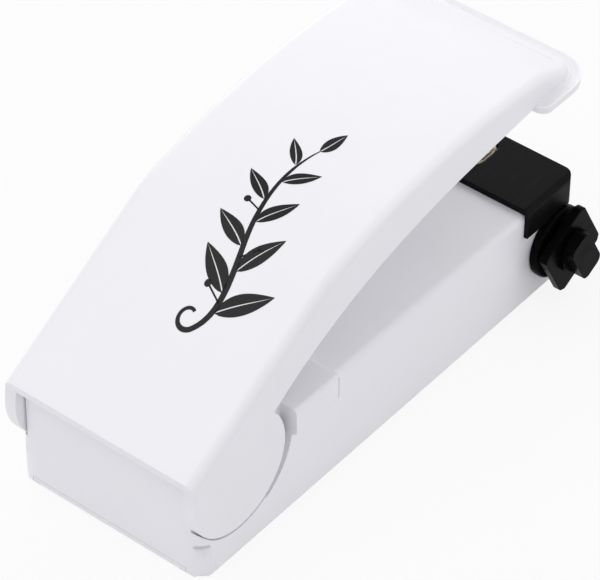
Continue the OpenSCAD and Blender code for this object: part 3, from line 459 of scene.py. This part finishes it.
# Glass tape --------------------------------------------------------------------------------
# Adhesive glass-cloth tape lies over the ribbon, so that no bag sticks to it. It is cut by hand, and
# its long edges are browned by the heat.
tape_low, tape_high = (Vector(corner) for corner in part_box("heat_tape"))
tape_mid = (tape_low + tape_high) / 2
tape_size = tape_high - tape_low
bpy.ops.object.select_all(action="DESELECT")
bpy.ops.mesh.primitive_grid_add(x_subdivisions=16, y_subdivisions=40, size=1.0)
tape = bpy.context.object
tape.name = "glass_tape"
tape_t, tape_sag, side_in, end_in = 0.1 * mm, 0.13 * mm, 0.12 * mm, 0.14 * mm
fray_depth, cut_wander = 0.10 * mm, 0.12 * mm
for corner in tape.data.vertices:
    u, v = 2 * corner.co.x, 2 * corner.co.y
    fray = fray_depth * math.sin(31 * v) * math.sin(17 * v + 1) * abs(u) ** 6
    cut = cut_wander * math.sin(9 * u + 2) * abs(v) ** 12
    corner.co.x = tape_mid.x + u * (tape_size.x / 2 - side_in) + math.copysign(fray, u)
    corner.co.y = tape_mid.y + v * (tape_size.y / 2 - end_in) + cut
    corner.co.z = tape_high.z - tape_t - tape_sag * max(0.0, abs(u) - 0.5) ** 2 / 0.25
wall = tape.modifiers.new("wall", "SOLIDIFY")
wall.thickness = tape_t
wall.offset = 1.0
bpy.ops.object.modifier_apply(modifier=wall.name)
bpy.ops.object.shade_smooth_by_angle(angle=math.radians(40.0))

# PTFE-coated glass cloth: tan with a waxy sheen, browned towards both long edges. Its threads are
# 0.35 mm apart in a real one, and 0.5 mm here so that the plain weave shows.
glass_cloth, tree, out = new_material("coated_glass_cloth")
place = add_node(tree, "ShaderNodeTexCoord").outputs["Object"]
thread = 0.5 * mm
warp = add_node(tree, "ShaderNodeTexWave", {"Vector": place, "Scale": 2 * math.pi / (20 * thread)},
                bands_direction="X")
weft = add_node(tree, "ShaderNodeTexWave", {"Vector": place, "Scale": 2 * math.pi / (20 * thread)},
                bands_direction="Y")
weave = add_node(tree, "ShaderNodeMath", {0: warp.outputs["Fac"], 1: weft.outputs["Fac"]},
                 operation="MULTIPLY")
bump = add_node(tree, "ShaderNodeBump", {"Height": weave.outputs[0], "Strength": 0.5, "Distance": 0.08 * mm})
parts = add_node(tree, "ShaderNodeSeparateXYZ", {0: place})
off_middle = add_node(tree, "ShaderNodeMath", {0: parts.outputs["X"], 1: tape_mid.x}, operation="SUBTRACT")
off_middle = add_node(tree, "ShaderNodeMath", {0: off_middle.outputs[0]}, operation="ABSOLUTE")
scorch = add_node(tree, "ShaderNodeMapRange", {"Value": off_middle.outputs[0], "From Min": 1.1 * mm,
                                               "From Max": 2.4 * mm})
patch = add_node(tree, "ShaderNodeTexNoise", {"Vector": place, "Scale": 1 / (1.2 * mm), "Detail": 3.0})
scorch = add_node(tree, "ShaderNodeMath", {0: scorch.outputs[0], 1: patch.outputs["Fac"]},
                  operation="MULTIPLY")
cloth_tan = add_node(tree, "ShaderNodeMix", {0: weave.outputs[0], 6: linear("C4AC8C"), 7: linear("E3D3BA")},
                     data_type="RGBA")
colour = add_node(tree, "ShaderNodeMix", {0: scorch.outputs[0], 6: cloth_tan.outputs[2], 7: linear("5A3214")},
                  data_type="RGBA")
skin = add_node(tree, "ShaderNodeBsdfPrincipled", {
    "Base Color": colour.outputs[2], "IOR": 1.38, "Roughness": 0.5, "Normal": bump.outputs[0]})
tree.links.new(skin.outputs[0], out.inputs["Surface"])
fit(tape, "heat_tape", glass_cloth)

# Cells -------------------------------------------------------------------------------------
# Two AA cells, each a drawn steel can in a shrunk sleeve, with a pressed positive cap at one end.

# Nickel-plated steel: bright, slightly warm, its gloss broken by fine swirls.
nickel, tree, out = new_material("nickel_plated_steel")
place = add_node(tree, "ShaderNodeTexCoord").outputs["Object"]
lines = add_node(tree, "ShaderNodeTexNoise", {"Vector": place, "Scale": 1 / (0.4 * mm), "Detail": 4.0,
                                             "Distortion": 0.4})
gloss = add_node(tree, "ShaderNodeMapRange", {"Value": lines.outputs["Fac"], "To Min": 0.2, "To Max": 0.36})
skin = add_node(tree, "ShaderNodeBsdfPrincipled", {"Base Color": linear("CFCBC2"), "Metallic": 1.0,
                                                   "Roughness": gloss.outputs[0]})
tree.links.new(skin.outputs[0], out.inputs["Surface"])

# Printed PVC sleeve: plain slate blue under a clear gloss, with faint clouds in the ink.
sleeve, tree, out = new_material("printed_pvc_sleeve")
place = add_node(tree, "ShaderNodeTexCoord").outputs["Object"]
ink = add_node(tree, "ShaderNodeTexNoise", {"Vector": place, "Scale": 1 / (3 * mm), "Detail": 2.0})
colour = add_node(tree, "ShaderNodeMix", {0: ink.outputs["Fac"], 6: linear("6C7683"), 7: linear("788391")},
                  data_type="RGBA")
ripple = add_node(tree, "ShaderNodeBump", {"Height": ink.outputs["Fac"], "Strength": 0.1,
                                           "Distance": 0.1 * mm})
skin = add_node(tree, "ShaderNodeBsdfPrincipled", {
    "Base Color": colour.outputs[2], "Roughness": 0.3, "IOR": 1.5, "Coat Weight": 0.5,
    "Normal": ripple.outputs[0]})
tree.links.new(skin.outputs[0], out.inputs["Surface"])


def select_faces(piece, wanted):
    """In edit mode, selects only the faces for which wanted(centre, normal) holds."""
    shape = bmesh.from_edit_mesh(piece.data)
    for face in shape.faces:
        face.select = bool(wanted(face.calc_center_median(), face.normal))
    shape.select_flush_mode()
    bmesh.update_edit_mesh(piece.data)


def cell(node_name, piece_name, positive):
    """An AA cell along X, its positive cap at the lower (-1) or higher (1) end."""
    low, high = (Vector(corner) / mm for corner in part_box(node_name))
    cap_h, cap_r, rim, boss_h = 1.1, 2.75, 0.9, 0.3
    dish_depth, boss_slope, boss_rise = 0.35, 1.2, 0.65
    start = low.x + (cap_h if positive < 0 else boss_h)
    end = high.x - (cap_h if positive > 0 else boss_h)
    middle = (low + high) / 2
    can_r = (high.y - low.y) / 2
    made = rod("x", (start, middle.y, middle.z), end, can_r, sides=64)
    made.name = piece_name
    bpy.ops.object.mode_set(mode="EDIT")
    for way in (1, -1):
        select_faces(made, lambda centre, normal: normal.x * way > 0.9)
        bpy.ops.mesh.inset(thickness=rim * mm)
        bpy.ops.transform.translate(value=(-dish_depth * mm * way, 0, 0))
        if way == positive:
            bpy.ops.mesh.inset(thickness=(can_r - rim - cap_r) * mm)
            cap_way = ((cap_h + dish_depth) * mm * way, 0, 0)
            bpy.ops.mesh.extrude_region_move(TRANSFORM_OT_translate={"value": cap_way})
        else:
            bpy.ops.mesh.inset(thickness=boss_slope * mm)
            bpy.ops.transform.translate(value=(boss_rise * mm * way, 0, 0))
    bpy.ops.object.mode_set(mode="OBJECT")
    break_edges(made, 0.25 * mm, segments=3)
    fit(made, node_name, sleeve, nickel)
    bare_r, bare_side_r = 6.4 * mm, 6.0 * mm
    for face in made.data.polygons:
        off_axis = math.hypot(face.center.y - middle.y * mm, face.center.z - middle.z * mm)
        face.material_index = int(abs(face.normal.x) > 0.5 and off_axis < bare_r or off_axis < bare_side_r)


cell("cell_left", "left_cell", -1)
cell("cell_right", "right_cell", 1)

# Cell contacts -----------------------------------------------------------------------------
# Stamped strip, nickel-plated, pushed down into slots in the bay's end walls. Wound springs press
# on the cells' flat ends.
for node_name in ("rear_bridge_contact", "front_positive_contact", "front_negative_contact"):
    strip = moulding_from(node_name, node_name + "_strip")
    break_edges(strip, 0.1 * mm)
    fit(strip, node_name, nickel)

# Bright drawn spring wire: chrome-like, with a finely uneven gloss.
spring_wire, tree, out = new_material("drawn_spring_steel")
place = add_node(tree, "ShaderNodeTexCoord").outputs["Object"]
lines = add_node(tree, "ShaderNodeTexNoise", {"Vector": place, "Scale": 1 / (0.25 * mm), "Detail": 2.0})
gloss = add_node(tree, "ShaderNodeMapRange", {"Value": lines.outputs["Fac"], "To Min": 0.14, "To Max": 0.3})
skin = add_node(tree, "ShaderNodeBsdfPrincipled", {"Base Color": linear("BDBDC2"), "Metallic": 1.0,
                                                   "Roughness": gloss.outputs[0]})
tree.links.new(skin.outputs[0], out.inputs["Surface"])


def wound_spring(node_name, piece_name, axis, wire, turns):
    """A closed-end coil in the box of its CAD spring, wound with the Screw modifier."""
    low, high = (Vector(corner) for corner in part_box(node_name))
    across = 1 if axis == "x" else 0
    length = (high.x - low.x) if axis == "x" else (high.z - low.z)
    coil_r = (high[across] - low[across]) / 2 - wire
    around, steps = 10, 24
    bpy.ops.object.select_all(action="DESELECT")
    bpy.ops.mesh.primitive_circle_add(vertices=around, radius=wire, location=(coil_r, 0, 0),
                                      rotation=(math.pi / 2, 0, 0))
    coil = bpy.context.object
    coil.name = piece_name
    bpy.ops.object.transform_apply(location=True, rotation=True, scale=True)
    screw = coil.modifiers.new("turns", "SCREW")
    screw.angle = 2 * math.pi * turns
    screw.steps = screw.render_steps = steps * turns
    screw.screw_offset = length - 2 * wire
    screw.use_merge_vertices = False
    bpy.ops.object.modifier_apply(modifier=screw.name)
    rings = steps * turns
    closed = min(0.45, 2.3 * wire / (length - 2 * wire))
    for corner in coil.data.vertices:
        share = corner.index // around / rings
        turn = 1 / turns
        if share < turn:
            rise = closed * share / turn
        elif share > 1 - turn:
            rise = 1 - closed * (1 - share) / turn
        else:
            rise = closed + (share - turn) * (1 - 2 * closed) / (1 - 2 * turn)
        corner.co.z += (rise - share) * (length - 2 * wire)
    middle = (low + high) / 2
    for corner in coil.data.vertices:
        x, y, z = corner.co
        if axis == "x":
            corner.co = (low.x + wire + z, middle.y + x, middle.z + y)
        else:
            corner.co = (middle.x + x, middle.y + y, low.z + wire + z)
    bpy.ops.object.mode_set(mode="EDIT")
    bpy.ops.mesh.select_all(action="DESELECT")
    bpy.ops.mesh.select_non_manifold()
    bpy.ops.mesh.edge_face_add()
    bpy.ops.mesh.select_all(action="SELECT")
    bpy.ops.mesh.normals_make_consistent(inside=False)
    bpy.ops.object.mode_set(mode="OBJECT")
    bpy.ops.object.shade_smooth_by_angle(angle=math.radians(50.0))
    fit(coil, node_name, spring_wire)
    return coil


wound_spring("rear_cell_spring", "rear_cell_coil", "x", 0.35 * mm, 3)
wound_spring("front_cell_spring", "front_cell_coil", "x", 0.35 * mm, 3)

# Press switch ------------------------------------------------------------------------------
# A nylon block under the deck with two leaf contacts. The closing lever pushes a nylon plunger
# down, and its contact plate bridges the leaves.

# Natural nylon: creamy, faintly waxy, slightly translucent.
nylon, tree, out = new_material("natural_nylon")
place = add_node(tree, "ShaderNodeTexCoord").outputs["Object"]
cloud = add_node(tree, "ShaderNodeTexNoise", {"Vector": place, "Scale": 1 / (4 * mm), "Detail": 2.0})
colour = add_node(tree, "ShaderNodeMix", {0: cloud.outputs["Fac"], 6: linear("DFD9C8"), 7: linear("EAE5D6")},
                  data_type="RGBA")
skin = add_node(tree, "ShaderNodeBsdfPrincipled", {
    "Base Color": colour.outputs[2], "Roughness": 0.42, "IOR": 1.53, "Subsurface Weight": 0.15,
    "Subsurface Scale": 1 * mm})
tree.links.new(skin.outputs[0], out.inputs["Surface"])

for node_name, material, width in (("switch_block", nylon, 0.2 * mm),
                                   ("switch_contacts", nickel, 0.08 * mm),
                                   ("contact_plunger", nylon, 0.2 * mm),
                                   ("contact_bridge", nickel, 0.08 * mm)):
    part = moulding_from(node_name, node_name + "_part")
    break_edges(part, width)
    fit(part, node_name, material)

plunger_coil = wound_spring("plunger_spring", "plunger_coil", "z", 0.25 * mm, 7)
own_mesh(plunger_coil)

# Return spring -----------------------------------------------------------------------------
# One coil of spring steel in a well of the housing holds the lever up. In the sealer its foot stays on
# the base and its top leans with the lever, so it is taken out of the one body that fit gave it and left
# where it stands, unbent.
return_coil = wound_spring("return_spring", "return_coil", "z", 0.4 * mm, 7)
return_coil.parent = None
del return_coil["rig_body"]
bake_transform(return_coil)

# Lever -------------------------------------------------------------------------------------
# One white ABS shell: a bent roof, two skirts with pegs that snap into the neck, and a flat rim round
# the nose for the thumb. A shallow channel follows the rim.
lever = moulding_from("lever_shell", "lever")
nose_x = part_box("lever_shell")[1][0]
rim_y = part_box("lever_shell")[1][1]
rim_start = nose_x - 12 * mm
rim_corner_r, rim_least_h = 1.9 * mm, 0.8 * mm
channel_in, channel_edge, channel_depth = 0.4 * mm, 0.16 * mm, 0.22 * mm
bpy.ops.object.mode_set(mode="EDIT")


def ends_rim(edge):
    """Whether an edge is the upright corner at the rear end of the rim."""
    a, b = (corner.co for corner in edge.verts)
    return (min(abs(a.y), abs(b.y)) > rim_y - 0.05 * mm and a.x < rim_start
            and abs(a.x - b.x) < 0.05 * mm and abs(a.z - b.z) > rim_least_h)


select_edges(lever, ends_rim)
bpy.ops.mesh.bevel(offset=rim_corner_r, segments=8)
bpy.ops.object.mode_set(mode="OBJECT")
break_edges(lever, 0.3 * mm)
bpy.ops.object.mode_set(mode="EDIT")
bpy.ops.mesh.select_mode(type="FACE")
select_faces(lever, lambda centre, normal: False)
shape = bmesh.from_edit_mesh(lever.data)
rim_top = max((face for face in shape.faces if face.normal.z > 0.999 and face.calc_center_median().x
               > rim_start), key=lambda face: face.calc_area())
rim_top.select = True
bmesh.update_edit_mesh(lever.data)
bpy.ops.mesh.inset(thickness=channel_in)
bpy.ops.mesh.inset(thickness=channel_edge, depth=-channel_depth)
bpy.ops.object.mode_set(mode="OBJECT")
fit(lever, "lever_shell", white_abs)
lever_skin = BVHTree.FromObject(lever, bpy.context.evaluated_depsgraph_get())


def roof_at(x, y):
    """The height of the lever's top, in metres."""
    return lever_skin.ray_cast(Vector((x, y, 0.1)), Vector((0, 0, -1)))[0].z


# Nose line ---------------------------------------------------------------------------------
# A fine raised bead across the roof, where it turns down to the rim. Its ends taper and dip.
bead_x, bead_half, bead_r, bead_sunk = nose_x - 3.7 * mm, 15.6 * mm, 0.45 * mm, 0.27 * mm
taper_length, taper_dip, taper_to = 1.2 * mm, 0.25 * mm, 0.3
bead = rod("y", (bead_x / mm, -bead_half / mm, 0), bead_half / mm, bead_r / mm, sides=12)
bead.name = "nose_bead"
bpy.ops.object.mode_set(mode="EDIT")
for end in (1, -1):
    select_faces(bead, lambda centre, normal: normal.y * end > 0.9)
    bpy.ops.mesh.extrude_region_move(TRANSFORM_OT_translate={"value": (0, taper_length * end, -taper_dip)})
    bpy.ops.transform.resize(value=(taper_to, 1.0, taper_to))
bpy.ops.object.mode_set(mode="OBJECT")
for corner in bead.data.vertices:
    corner.co.z += roof_at(bead_x, 0.0) - bead_sunk
bpy.ops.object.shade_smooth_by_angle(angle=math.radians(50.0))
bead.data.materials.append(white_abs)
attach(bead, "lever")

# Printed sprig -----------------------------------------------------------------------------
# A leafy sprig, screen-printed in black on the roof: a curved stem with a curled foot, leaves in turn
# on either side, and a few berries. It is laid out flat and then let down on to the roof.
stem_points = [Vector(p) * mm for p in ((7.4, -3.6), (14.0, -10.0), (27.0, 3.5), (42.0, -2.2))]


def on_stem(t):
    """A place on the stem's curve, and its direction there."""
    a, b, c, d = stem_points
    place = (1 - t) ** 3 * a + 3 * t * (1 - t) ** 2 * b + 3 * t ** 2 * (1 - t) * c + t ** 3 * d
    way = (1 - t) ** 2 * (b - a) + 2 * t * (1 - t) * (c - b) + t ** 2 * (d - c)
    return place, way.normalized()


def turned(way, degrees):
    """A plan direction turned anticlockwise."""
    a = math.radians(degrees)
    return Vector((way.x * math.cos(a) - way.y * math.sin(a), way.x * math.sin(a) + way.y * math.cos(a)))


def stroke(centres, widths):
    """The closed outline of a pen stroke along centres."""
    left, right_side = [], []
    for i, place in enumerate(centres):
        way = (centres[min(i + 1, len(centres) - 1)] - centres[max(i - 1, 0)]).normalized()
        side = turned(way, 90) * widths[i] / 2
        left.append(place + side)
        right_side.append(place - side)
    return left + right_side[::-1]


def leaf(foot, way, length, width, bend):
    """A pointed leaf split by its midrib as far as two thirds of its length."""
    steps, slit = 14, 0.2 * mm
    halves = []
    for side in (1, -1):
        outer, inner = [], []
        for i in range(steps + 1):
            s = i / steps
            rib = foot + way * length * s + turned(way, 90) * bend * math.sin(math.pi * s / 2) * s
            across = turned(way, 90) * side
            outer.append(rib + across * width / 2 * math.sin(math.pi * s ** 0.8) ** 0.9)
            inner.append(rib + across * min(slit / 2, width / 2 * math.sin(math.pi * s ** 0.8) * 0.5)
                         * max(0.0, 1 - s ** 3))
        halves.append(outer + inner[-2:0:-1])
    return halves


outlines = []
stem_steps = 40
stem = [on_stem(i / stem_steps)[0] for i in range(stem_steps + 1)]
curl_r, curl_steps = 2.1 * mm, 18
foot, way = on_stem(0.0)
curl_middle = foot + turned(way, 90) * curl_r
curl = [curl_middle + (foot - curl_middle) * (1 - 0.45 * i / curl_steps) @ Matrix.Rotation(
    math.radians(-250) * -i / curl_steps, 2) for i in range(curl_steps, 0, -1)]
line = curl + stem
stem_thin, stem_swell = 0.55, 0.5
outlines.append(stroke(line, [mm * (stem_thin + stem_swell * math.sin(math.pi * i / (len(line) - 1)) ** 2)
                              * min(1.0, (len(line) - i) / 9 + 0.25) for i in range(len(line))]))
leaf_places = [0.16, 0.27, 0.38, 0.49, 0.60, 0.71, 0.81, 0.90]
leaf_length, leaf_width, leaf_bend, leaf_angle, leaf_off_stem = 9.6, 3.5, 1.2, 38, 0.35
for i, t in enumerate(leaf_places):
    side = 1 if i % 2 else -1
    place, way = on_stem(t)
    outlines += leaf(place + turned(way, 90 * side) * leaf_off_stem * mm, turned(way, leaf_angle * side),
                     (leaf_length - 0.55 * i) * mm, (leaf_width - 0.2 * i) * mm, side * leaf_bend * mm)
tip, way = on_stem(1.0)
outlines += leaf(tip, way, 5.6 * mm, 2.4 * mm, 0.5 * mm)
stalk_width, berry_r = 0.28 * mm, 0.62 * mm
for t, side, reach in ((0.215, 1, 3.6), (0.44, -1, 3.2), (0.655, 1, 2.8)):
    place, way = on_stem(t)
    out_way = turned(way, 62 * side)
    outlines.append(stroke([place + out_way * reach * mm * s / 6 for s in range(7)], [stalk_width] * 7))
    berry = place + out_way * (reach + 0.5) * mm
    outlines.append([berry + turned(out_way, 360 * k / 20) * berry_r for k in range(20)])

strips = []
for outline in outlines:
    drawn = bpy.data.curves.new("outline", "CURVE")
    drawn.dimensions = "2D"
    drawn.fill_mode = "BOTH"
    spline = drawn.splines.new("POLY")
    spline.points.add(len(outline) - 1)
    for point, place in zip(spline.points, outline):
        point.co = (place.x, place.y, 0.0, 1.0)
    spline.use_cyclic_u = True
    strip = bpy.data.objects.new("outline", drawn)
    bpy.context.collection.objects.link(strip)
    strips.append(strip)
bpy.ops.object.select_all(action="DESELECT")
for strip in strips:
    strip.select_set(True)
bpy.context.view_layer.objects.active = strips[0]
bpy.ops.object.convert(target="MESH")
bpy.ops.object.join()
sprig = bpy.context.object
sprig.name = "printed_sprig"

# It is sliced every millimetre across the lever, so that it can bend with the roof.
bpy.ops.object.mode_set(mode="EDIT")
for slice_x in range(2, 52):
    bpy.ops.mesh.select_all(action="SELECT")
    bpy.ops.mesh.bisect(plane_co=(slice_x * mm, 0, 0), plane_no=(1, 0, 0))
bpy.ops.mesh.select_all(action="SELECT")
bpy.ops.mesh.normals_make_consistent(inside=False)
bpy.ops.object.mode_set(mode="OBJECT")
if sum(face.normal.z * face.area for face in sprig.data.polygons) < 0:
    sprig.data.flip_normals()
print_gap, print_t = 0.02 * mm, 0.02 * mm
for corner in sprig.data.vertices:
    corner.co.z = roof_at(corner.co.x, corner.co.y) + print_gap
film = sprig.modifiers.new("film", "SOLIDIFY")
film.thickness = print_t
film.offset = 1.0
bpy.ops.object.modifier_apply(modifier=film.name)

# Screen-printed ink: solid black, half gloss, very slightly uneven where the mesh laid it down.
black_ink, tree, out = new_material("screen_printed_ink")
place = add_node(tree, "ShaderNodeTexCoord").outputs["Object"]
mesh_mark = add_node(tree, "ShaderNodeTexNoise", {"Vector": place, "Scale": 1 / (0.5 * mm), "Detail": 2.0})
colour = add_node(tree, "ShaderNodeMix", {0: mesh_mark.outputs["Fac"], 6: linear("060607"),
                                          7: linear("141416")}, data_type="RGBA")
gloss = add_node(tree, "ShaderNodeMapRange", {"Value": mesh_mark.outputs["Fac"], "To Min": 0.3,
                                              "To Max": 0.45})
skin = add_node(tree, "ShaderNodeBsdfPrincipled", {"Base Color": colour.outputs[2], "IOR": 1.5,
                                                   "Specular IOR Level": 0.2, "Roughness": gloss.outputs[0]})
tree.links.new(skin.outputs[0], out.inputs["Surface"])
sprig.data.materials.append(black_ink)
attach(sprig, "lever")

# Press pad ---------------------------------------------------------------------------------
# A silicone strip in a black holder under the lever's nose, held by two small screws. It presses the
# bag on to the ribbon.
holder = moulding_from("pad_holder", "pad_holder_piece")
break_edges(holder, 0.25 * mm)
fit(holder, "pad_holder", black_plastic)

# Silicone rubber: brick red, matt, with a dusty bloom.
silicone, tree, out = new_material("moulded_silicone_rubber")
place = add_node(tree, "ShaderNodeTexCoord").outputs["Object"]
dust = add_node(tree, "ShaderNodeTexNoise", {"Vector": place, "Scale": 1 / (1.5 * mm), "Detail": 5.0})
colour = add_node(tree, "ShaderNodeMix", {0: dust.outputs["Fac"], 6: linear("8E3A2B"), 7: linear("A9513E")},
                  data_type="RGBA")
bump = add_node(tree, "ShaderNodeBump", {"Height": dust.outputs["Fac"], "Strength": 0.15,
                                         "Distance": 0.1 * mm})
skin = add_node(tree, "ShaderNodeBsdfPrincipled", {"Base Color": colour.outputs[2], "IOR": 1.41,
                                                   "Roughness": 0.65, "Normal": bump.outputs[0]})
tree.links.new(skin.outputs[0], out.inputs["Surface"])
pad = moulding_from("press_pad", "silicone_pad")
break_edges(pad, 0.5 * mm, segments=4)
fit(pad, "press_pad", silicone)

# Zinc-plated steel: grey, clouded from faintly blue to faintly warm.
zinc, tree, out = new_material("zinc_plated_steel")
place = add_node(tree, "ShaderNodeTexCoord").outputs["Object"]
cloud = add_node(tree, "ShaderNodeTexNoise", {"Vector": place, "Scale": 1 / (0.8 * mm), "Detail": 3.0})
colour = add_node(tree, "ShaderNodeMix", {0: cloud.outputs["Fac"], 6: linear("B4B6BC"), 7: linear("C9C9C6")},
                  data_type="RGBA")
gloss = add_node(tree, "ShaderNodeMapRange", {"Value": cloud.outputs["Fac"], "To Min": 0.25, "To Max": 0.42})
skin = add_node(tree, "ShaderNodeBsdfPrincipled", {"Base Color": colour.outputs[2], "Metallic": 1.0,
                                                   "Roughness": gloss.outputs[0]})
tree.links.new(skin.outputs[0], out.inputs["Surface"])
for node_name, piece_name in (("pad_screws", "holder_screws"), ("base_screws", "tray_screws")):
    screws = moulding_from(node_name, piece_name)
    break_edges(screws, 0.05 * mm)
    fit(screws, node_name, zinc)

# Safety switch -----------------------------------------------------------------------------
# A rotary switch on the right side: a fixed bezel, and a plate and grip on a steel shaft that turn a
# quarter. Inside, a spring clip holds the shaft and an arm swings on to two contact fingers.

# Black acetal: deep black, a low sheen with fine handling scratches.
acetal, tree, out = new_material("black_acetal")
place = add_node(tree, "ShaderNodeTexCoord").outputs["Object"]
along = add_node(tree, "ShaderNodeMapping", {"Vector": place, "Rotation": (0.3, 0.9, 0.2),
                                             "Scale": (1 / (4 * mm), 1 / (0.25 * mm), 1 / (2 * mm))})
scratch = add_node(tree, "ShaderNodeTexNoise", {"Vector": along.outputs[0], "Scale": 1.0, "Detail": 4.0})
gloss = add_node(tree, "ShaderNodeMapRange", {"Value": scratch.outputs["Fac"], "From Min": 0.35,
                                              "From Max": 0.7, "To Min": 0.16, "To Max": 0.4})
bump = add_node(tree, "ShaderNodeBump", {"Height": scratch.outputs["Fac"], "Strength": 0.1,
                                         "Distance": 0.05 * mm})
skin = add_node(tree, "ShaderNodeBsdfPrincipled", {
    "Base Color": linear("0A0A0B"), "IOR": 1.48, "Specular IOR Level": 0.02, "Roughness": gloss.outputs[0],
    "Normal": bump.outputs[0]})
tree.links.new(skin.outputs[0], out.inputs["Surface"])

for node_name, width, material in (("knob_bezel", 0.45 * mm, acetal), ("knob_plate", 0.4 * mm, acetal),
                                   ("knob_grip", 0.4 * mm, acetal), ("knob_shaft", 0.15 * mm, zinc),
                                   ("shaft_clip", 0.06 * mm, spring_wire), ("contact_arm", 0.08 * mm, nickel),
                                   ("safety_contacts", 0.08 * mm, nickel)):
    part = moulding_from(node_name, node_name + "_part")
    break_edges(part, width, segments=3)
    fit(part, node_name, material)

# Leads -------------------------------------------------------------------------------------
# Short stranded wires in PVC insulation join the contacts, the switches and the heater. All of them
# lie fixed inside the base.


def insulation(name, dark, light):
    """PVC insulation: smooth, softly shiny, with slight colour clouds from extrusion."""
    made, tree, out = new_material(name)
    place = add_node(tree, "ShaderNodeTexCoord").outputs["Object"]
    cloud = add_node(tree, "ShaderNodeTexNoise", {"Vector": place, "Scale": 1 / (2 * mm), "Detail": 2.0})
    colour = add_node(tree, "ShaderNodeMix", {0: cloud.outputs["Fac"], 6: linear(dark), 7: linear(light)},
                      data_type="RGBA")
    skin = add_node(tree, "ShaderNodeBsdfPrincipled", {"Base Color": colour.outputs[2], "IOR": 1.53,
                                                       "Roughness": 0.38})
    tree.links.new(skin.outputs[0], out.inputs["Surface"])
    return made


red_pvc = insulation("red_pvc_insulation", "A01A14", "B8241C")
black_pvc = insulation("black_pvc_insulation", "121212", "1C1C1D")
for node_name, material in (("lead_heater", red_pvc), ("lead_jumper", red_pvc), ("lead_switch", red_pvc),
                            ("lead_return", black_pvc)):
    lead = moulding_from(node_name, node_name + "_wire")
    smooth = lead.modifiers.new("round", "SUBSURF")
    smooth.levels = smooth.render_levels = 1
    bpy.ops.object.modifier_apply(modifier=smooth.name)
    bpy.ops.object.shade_smooth_by_angle(angle=math.radians(50.0))
    fit(lead, node_name, material)
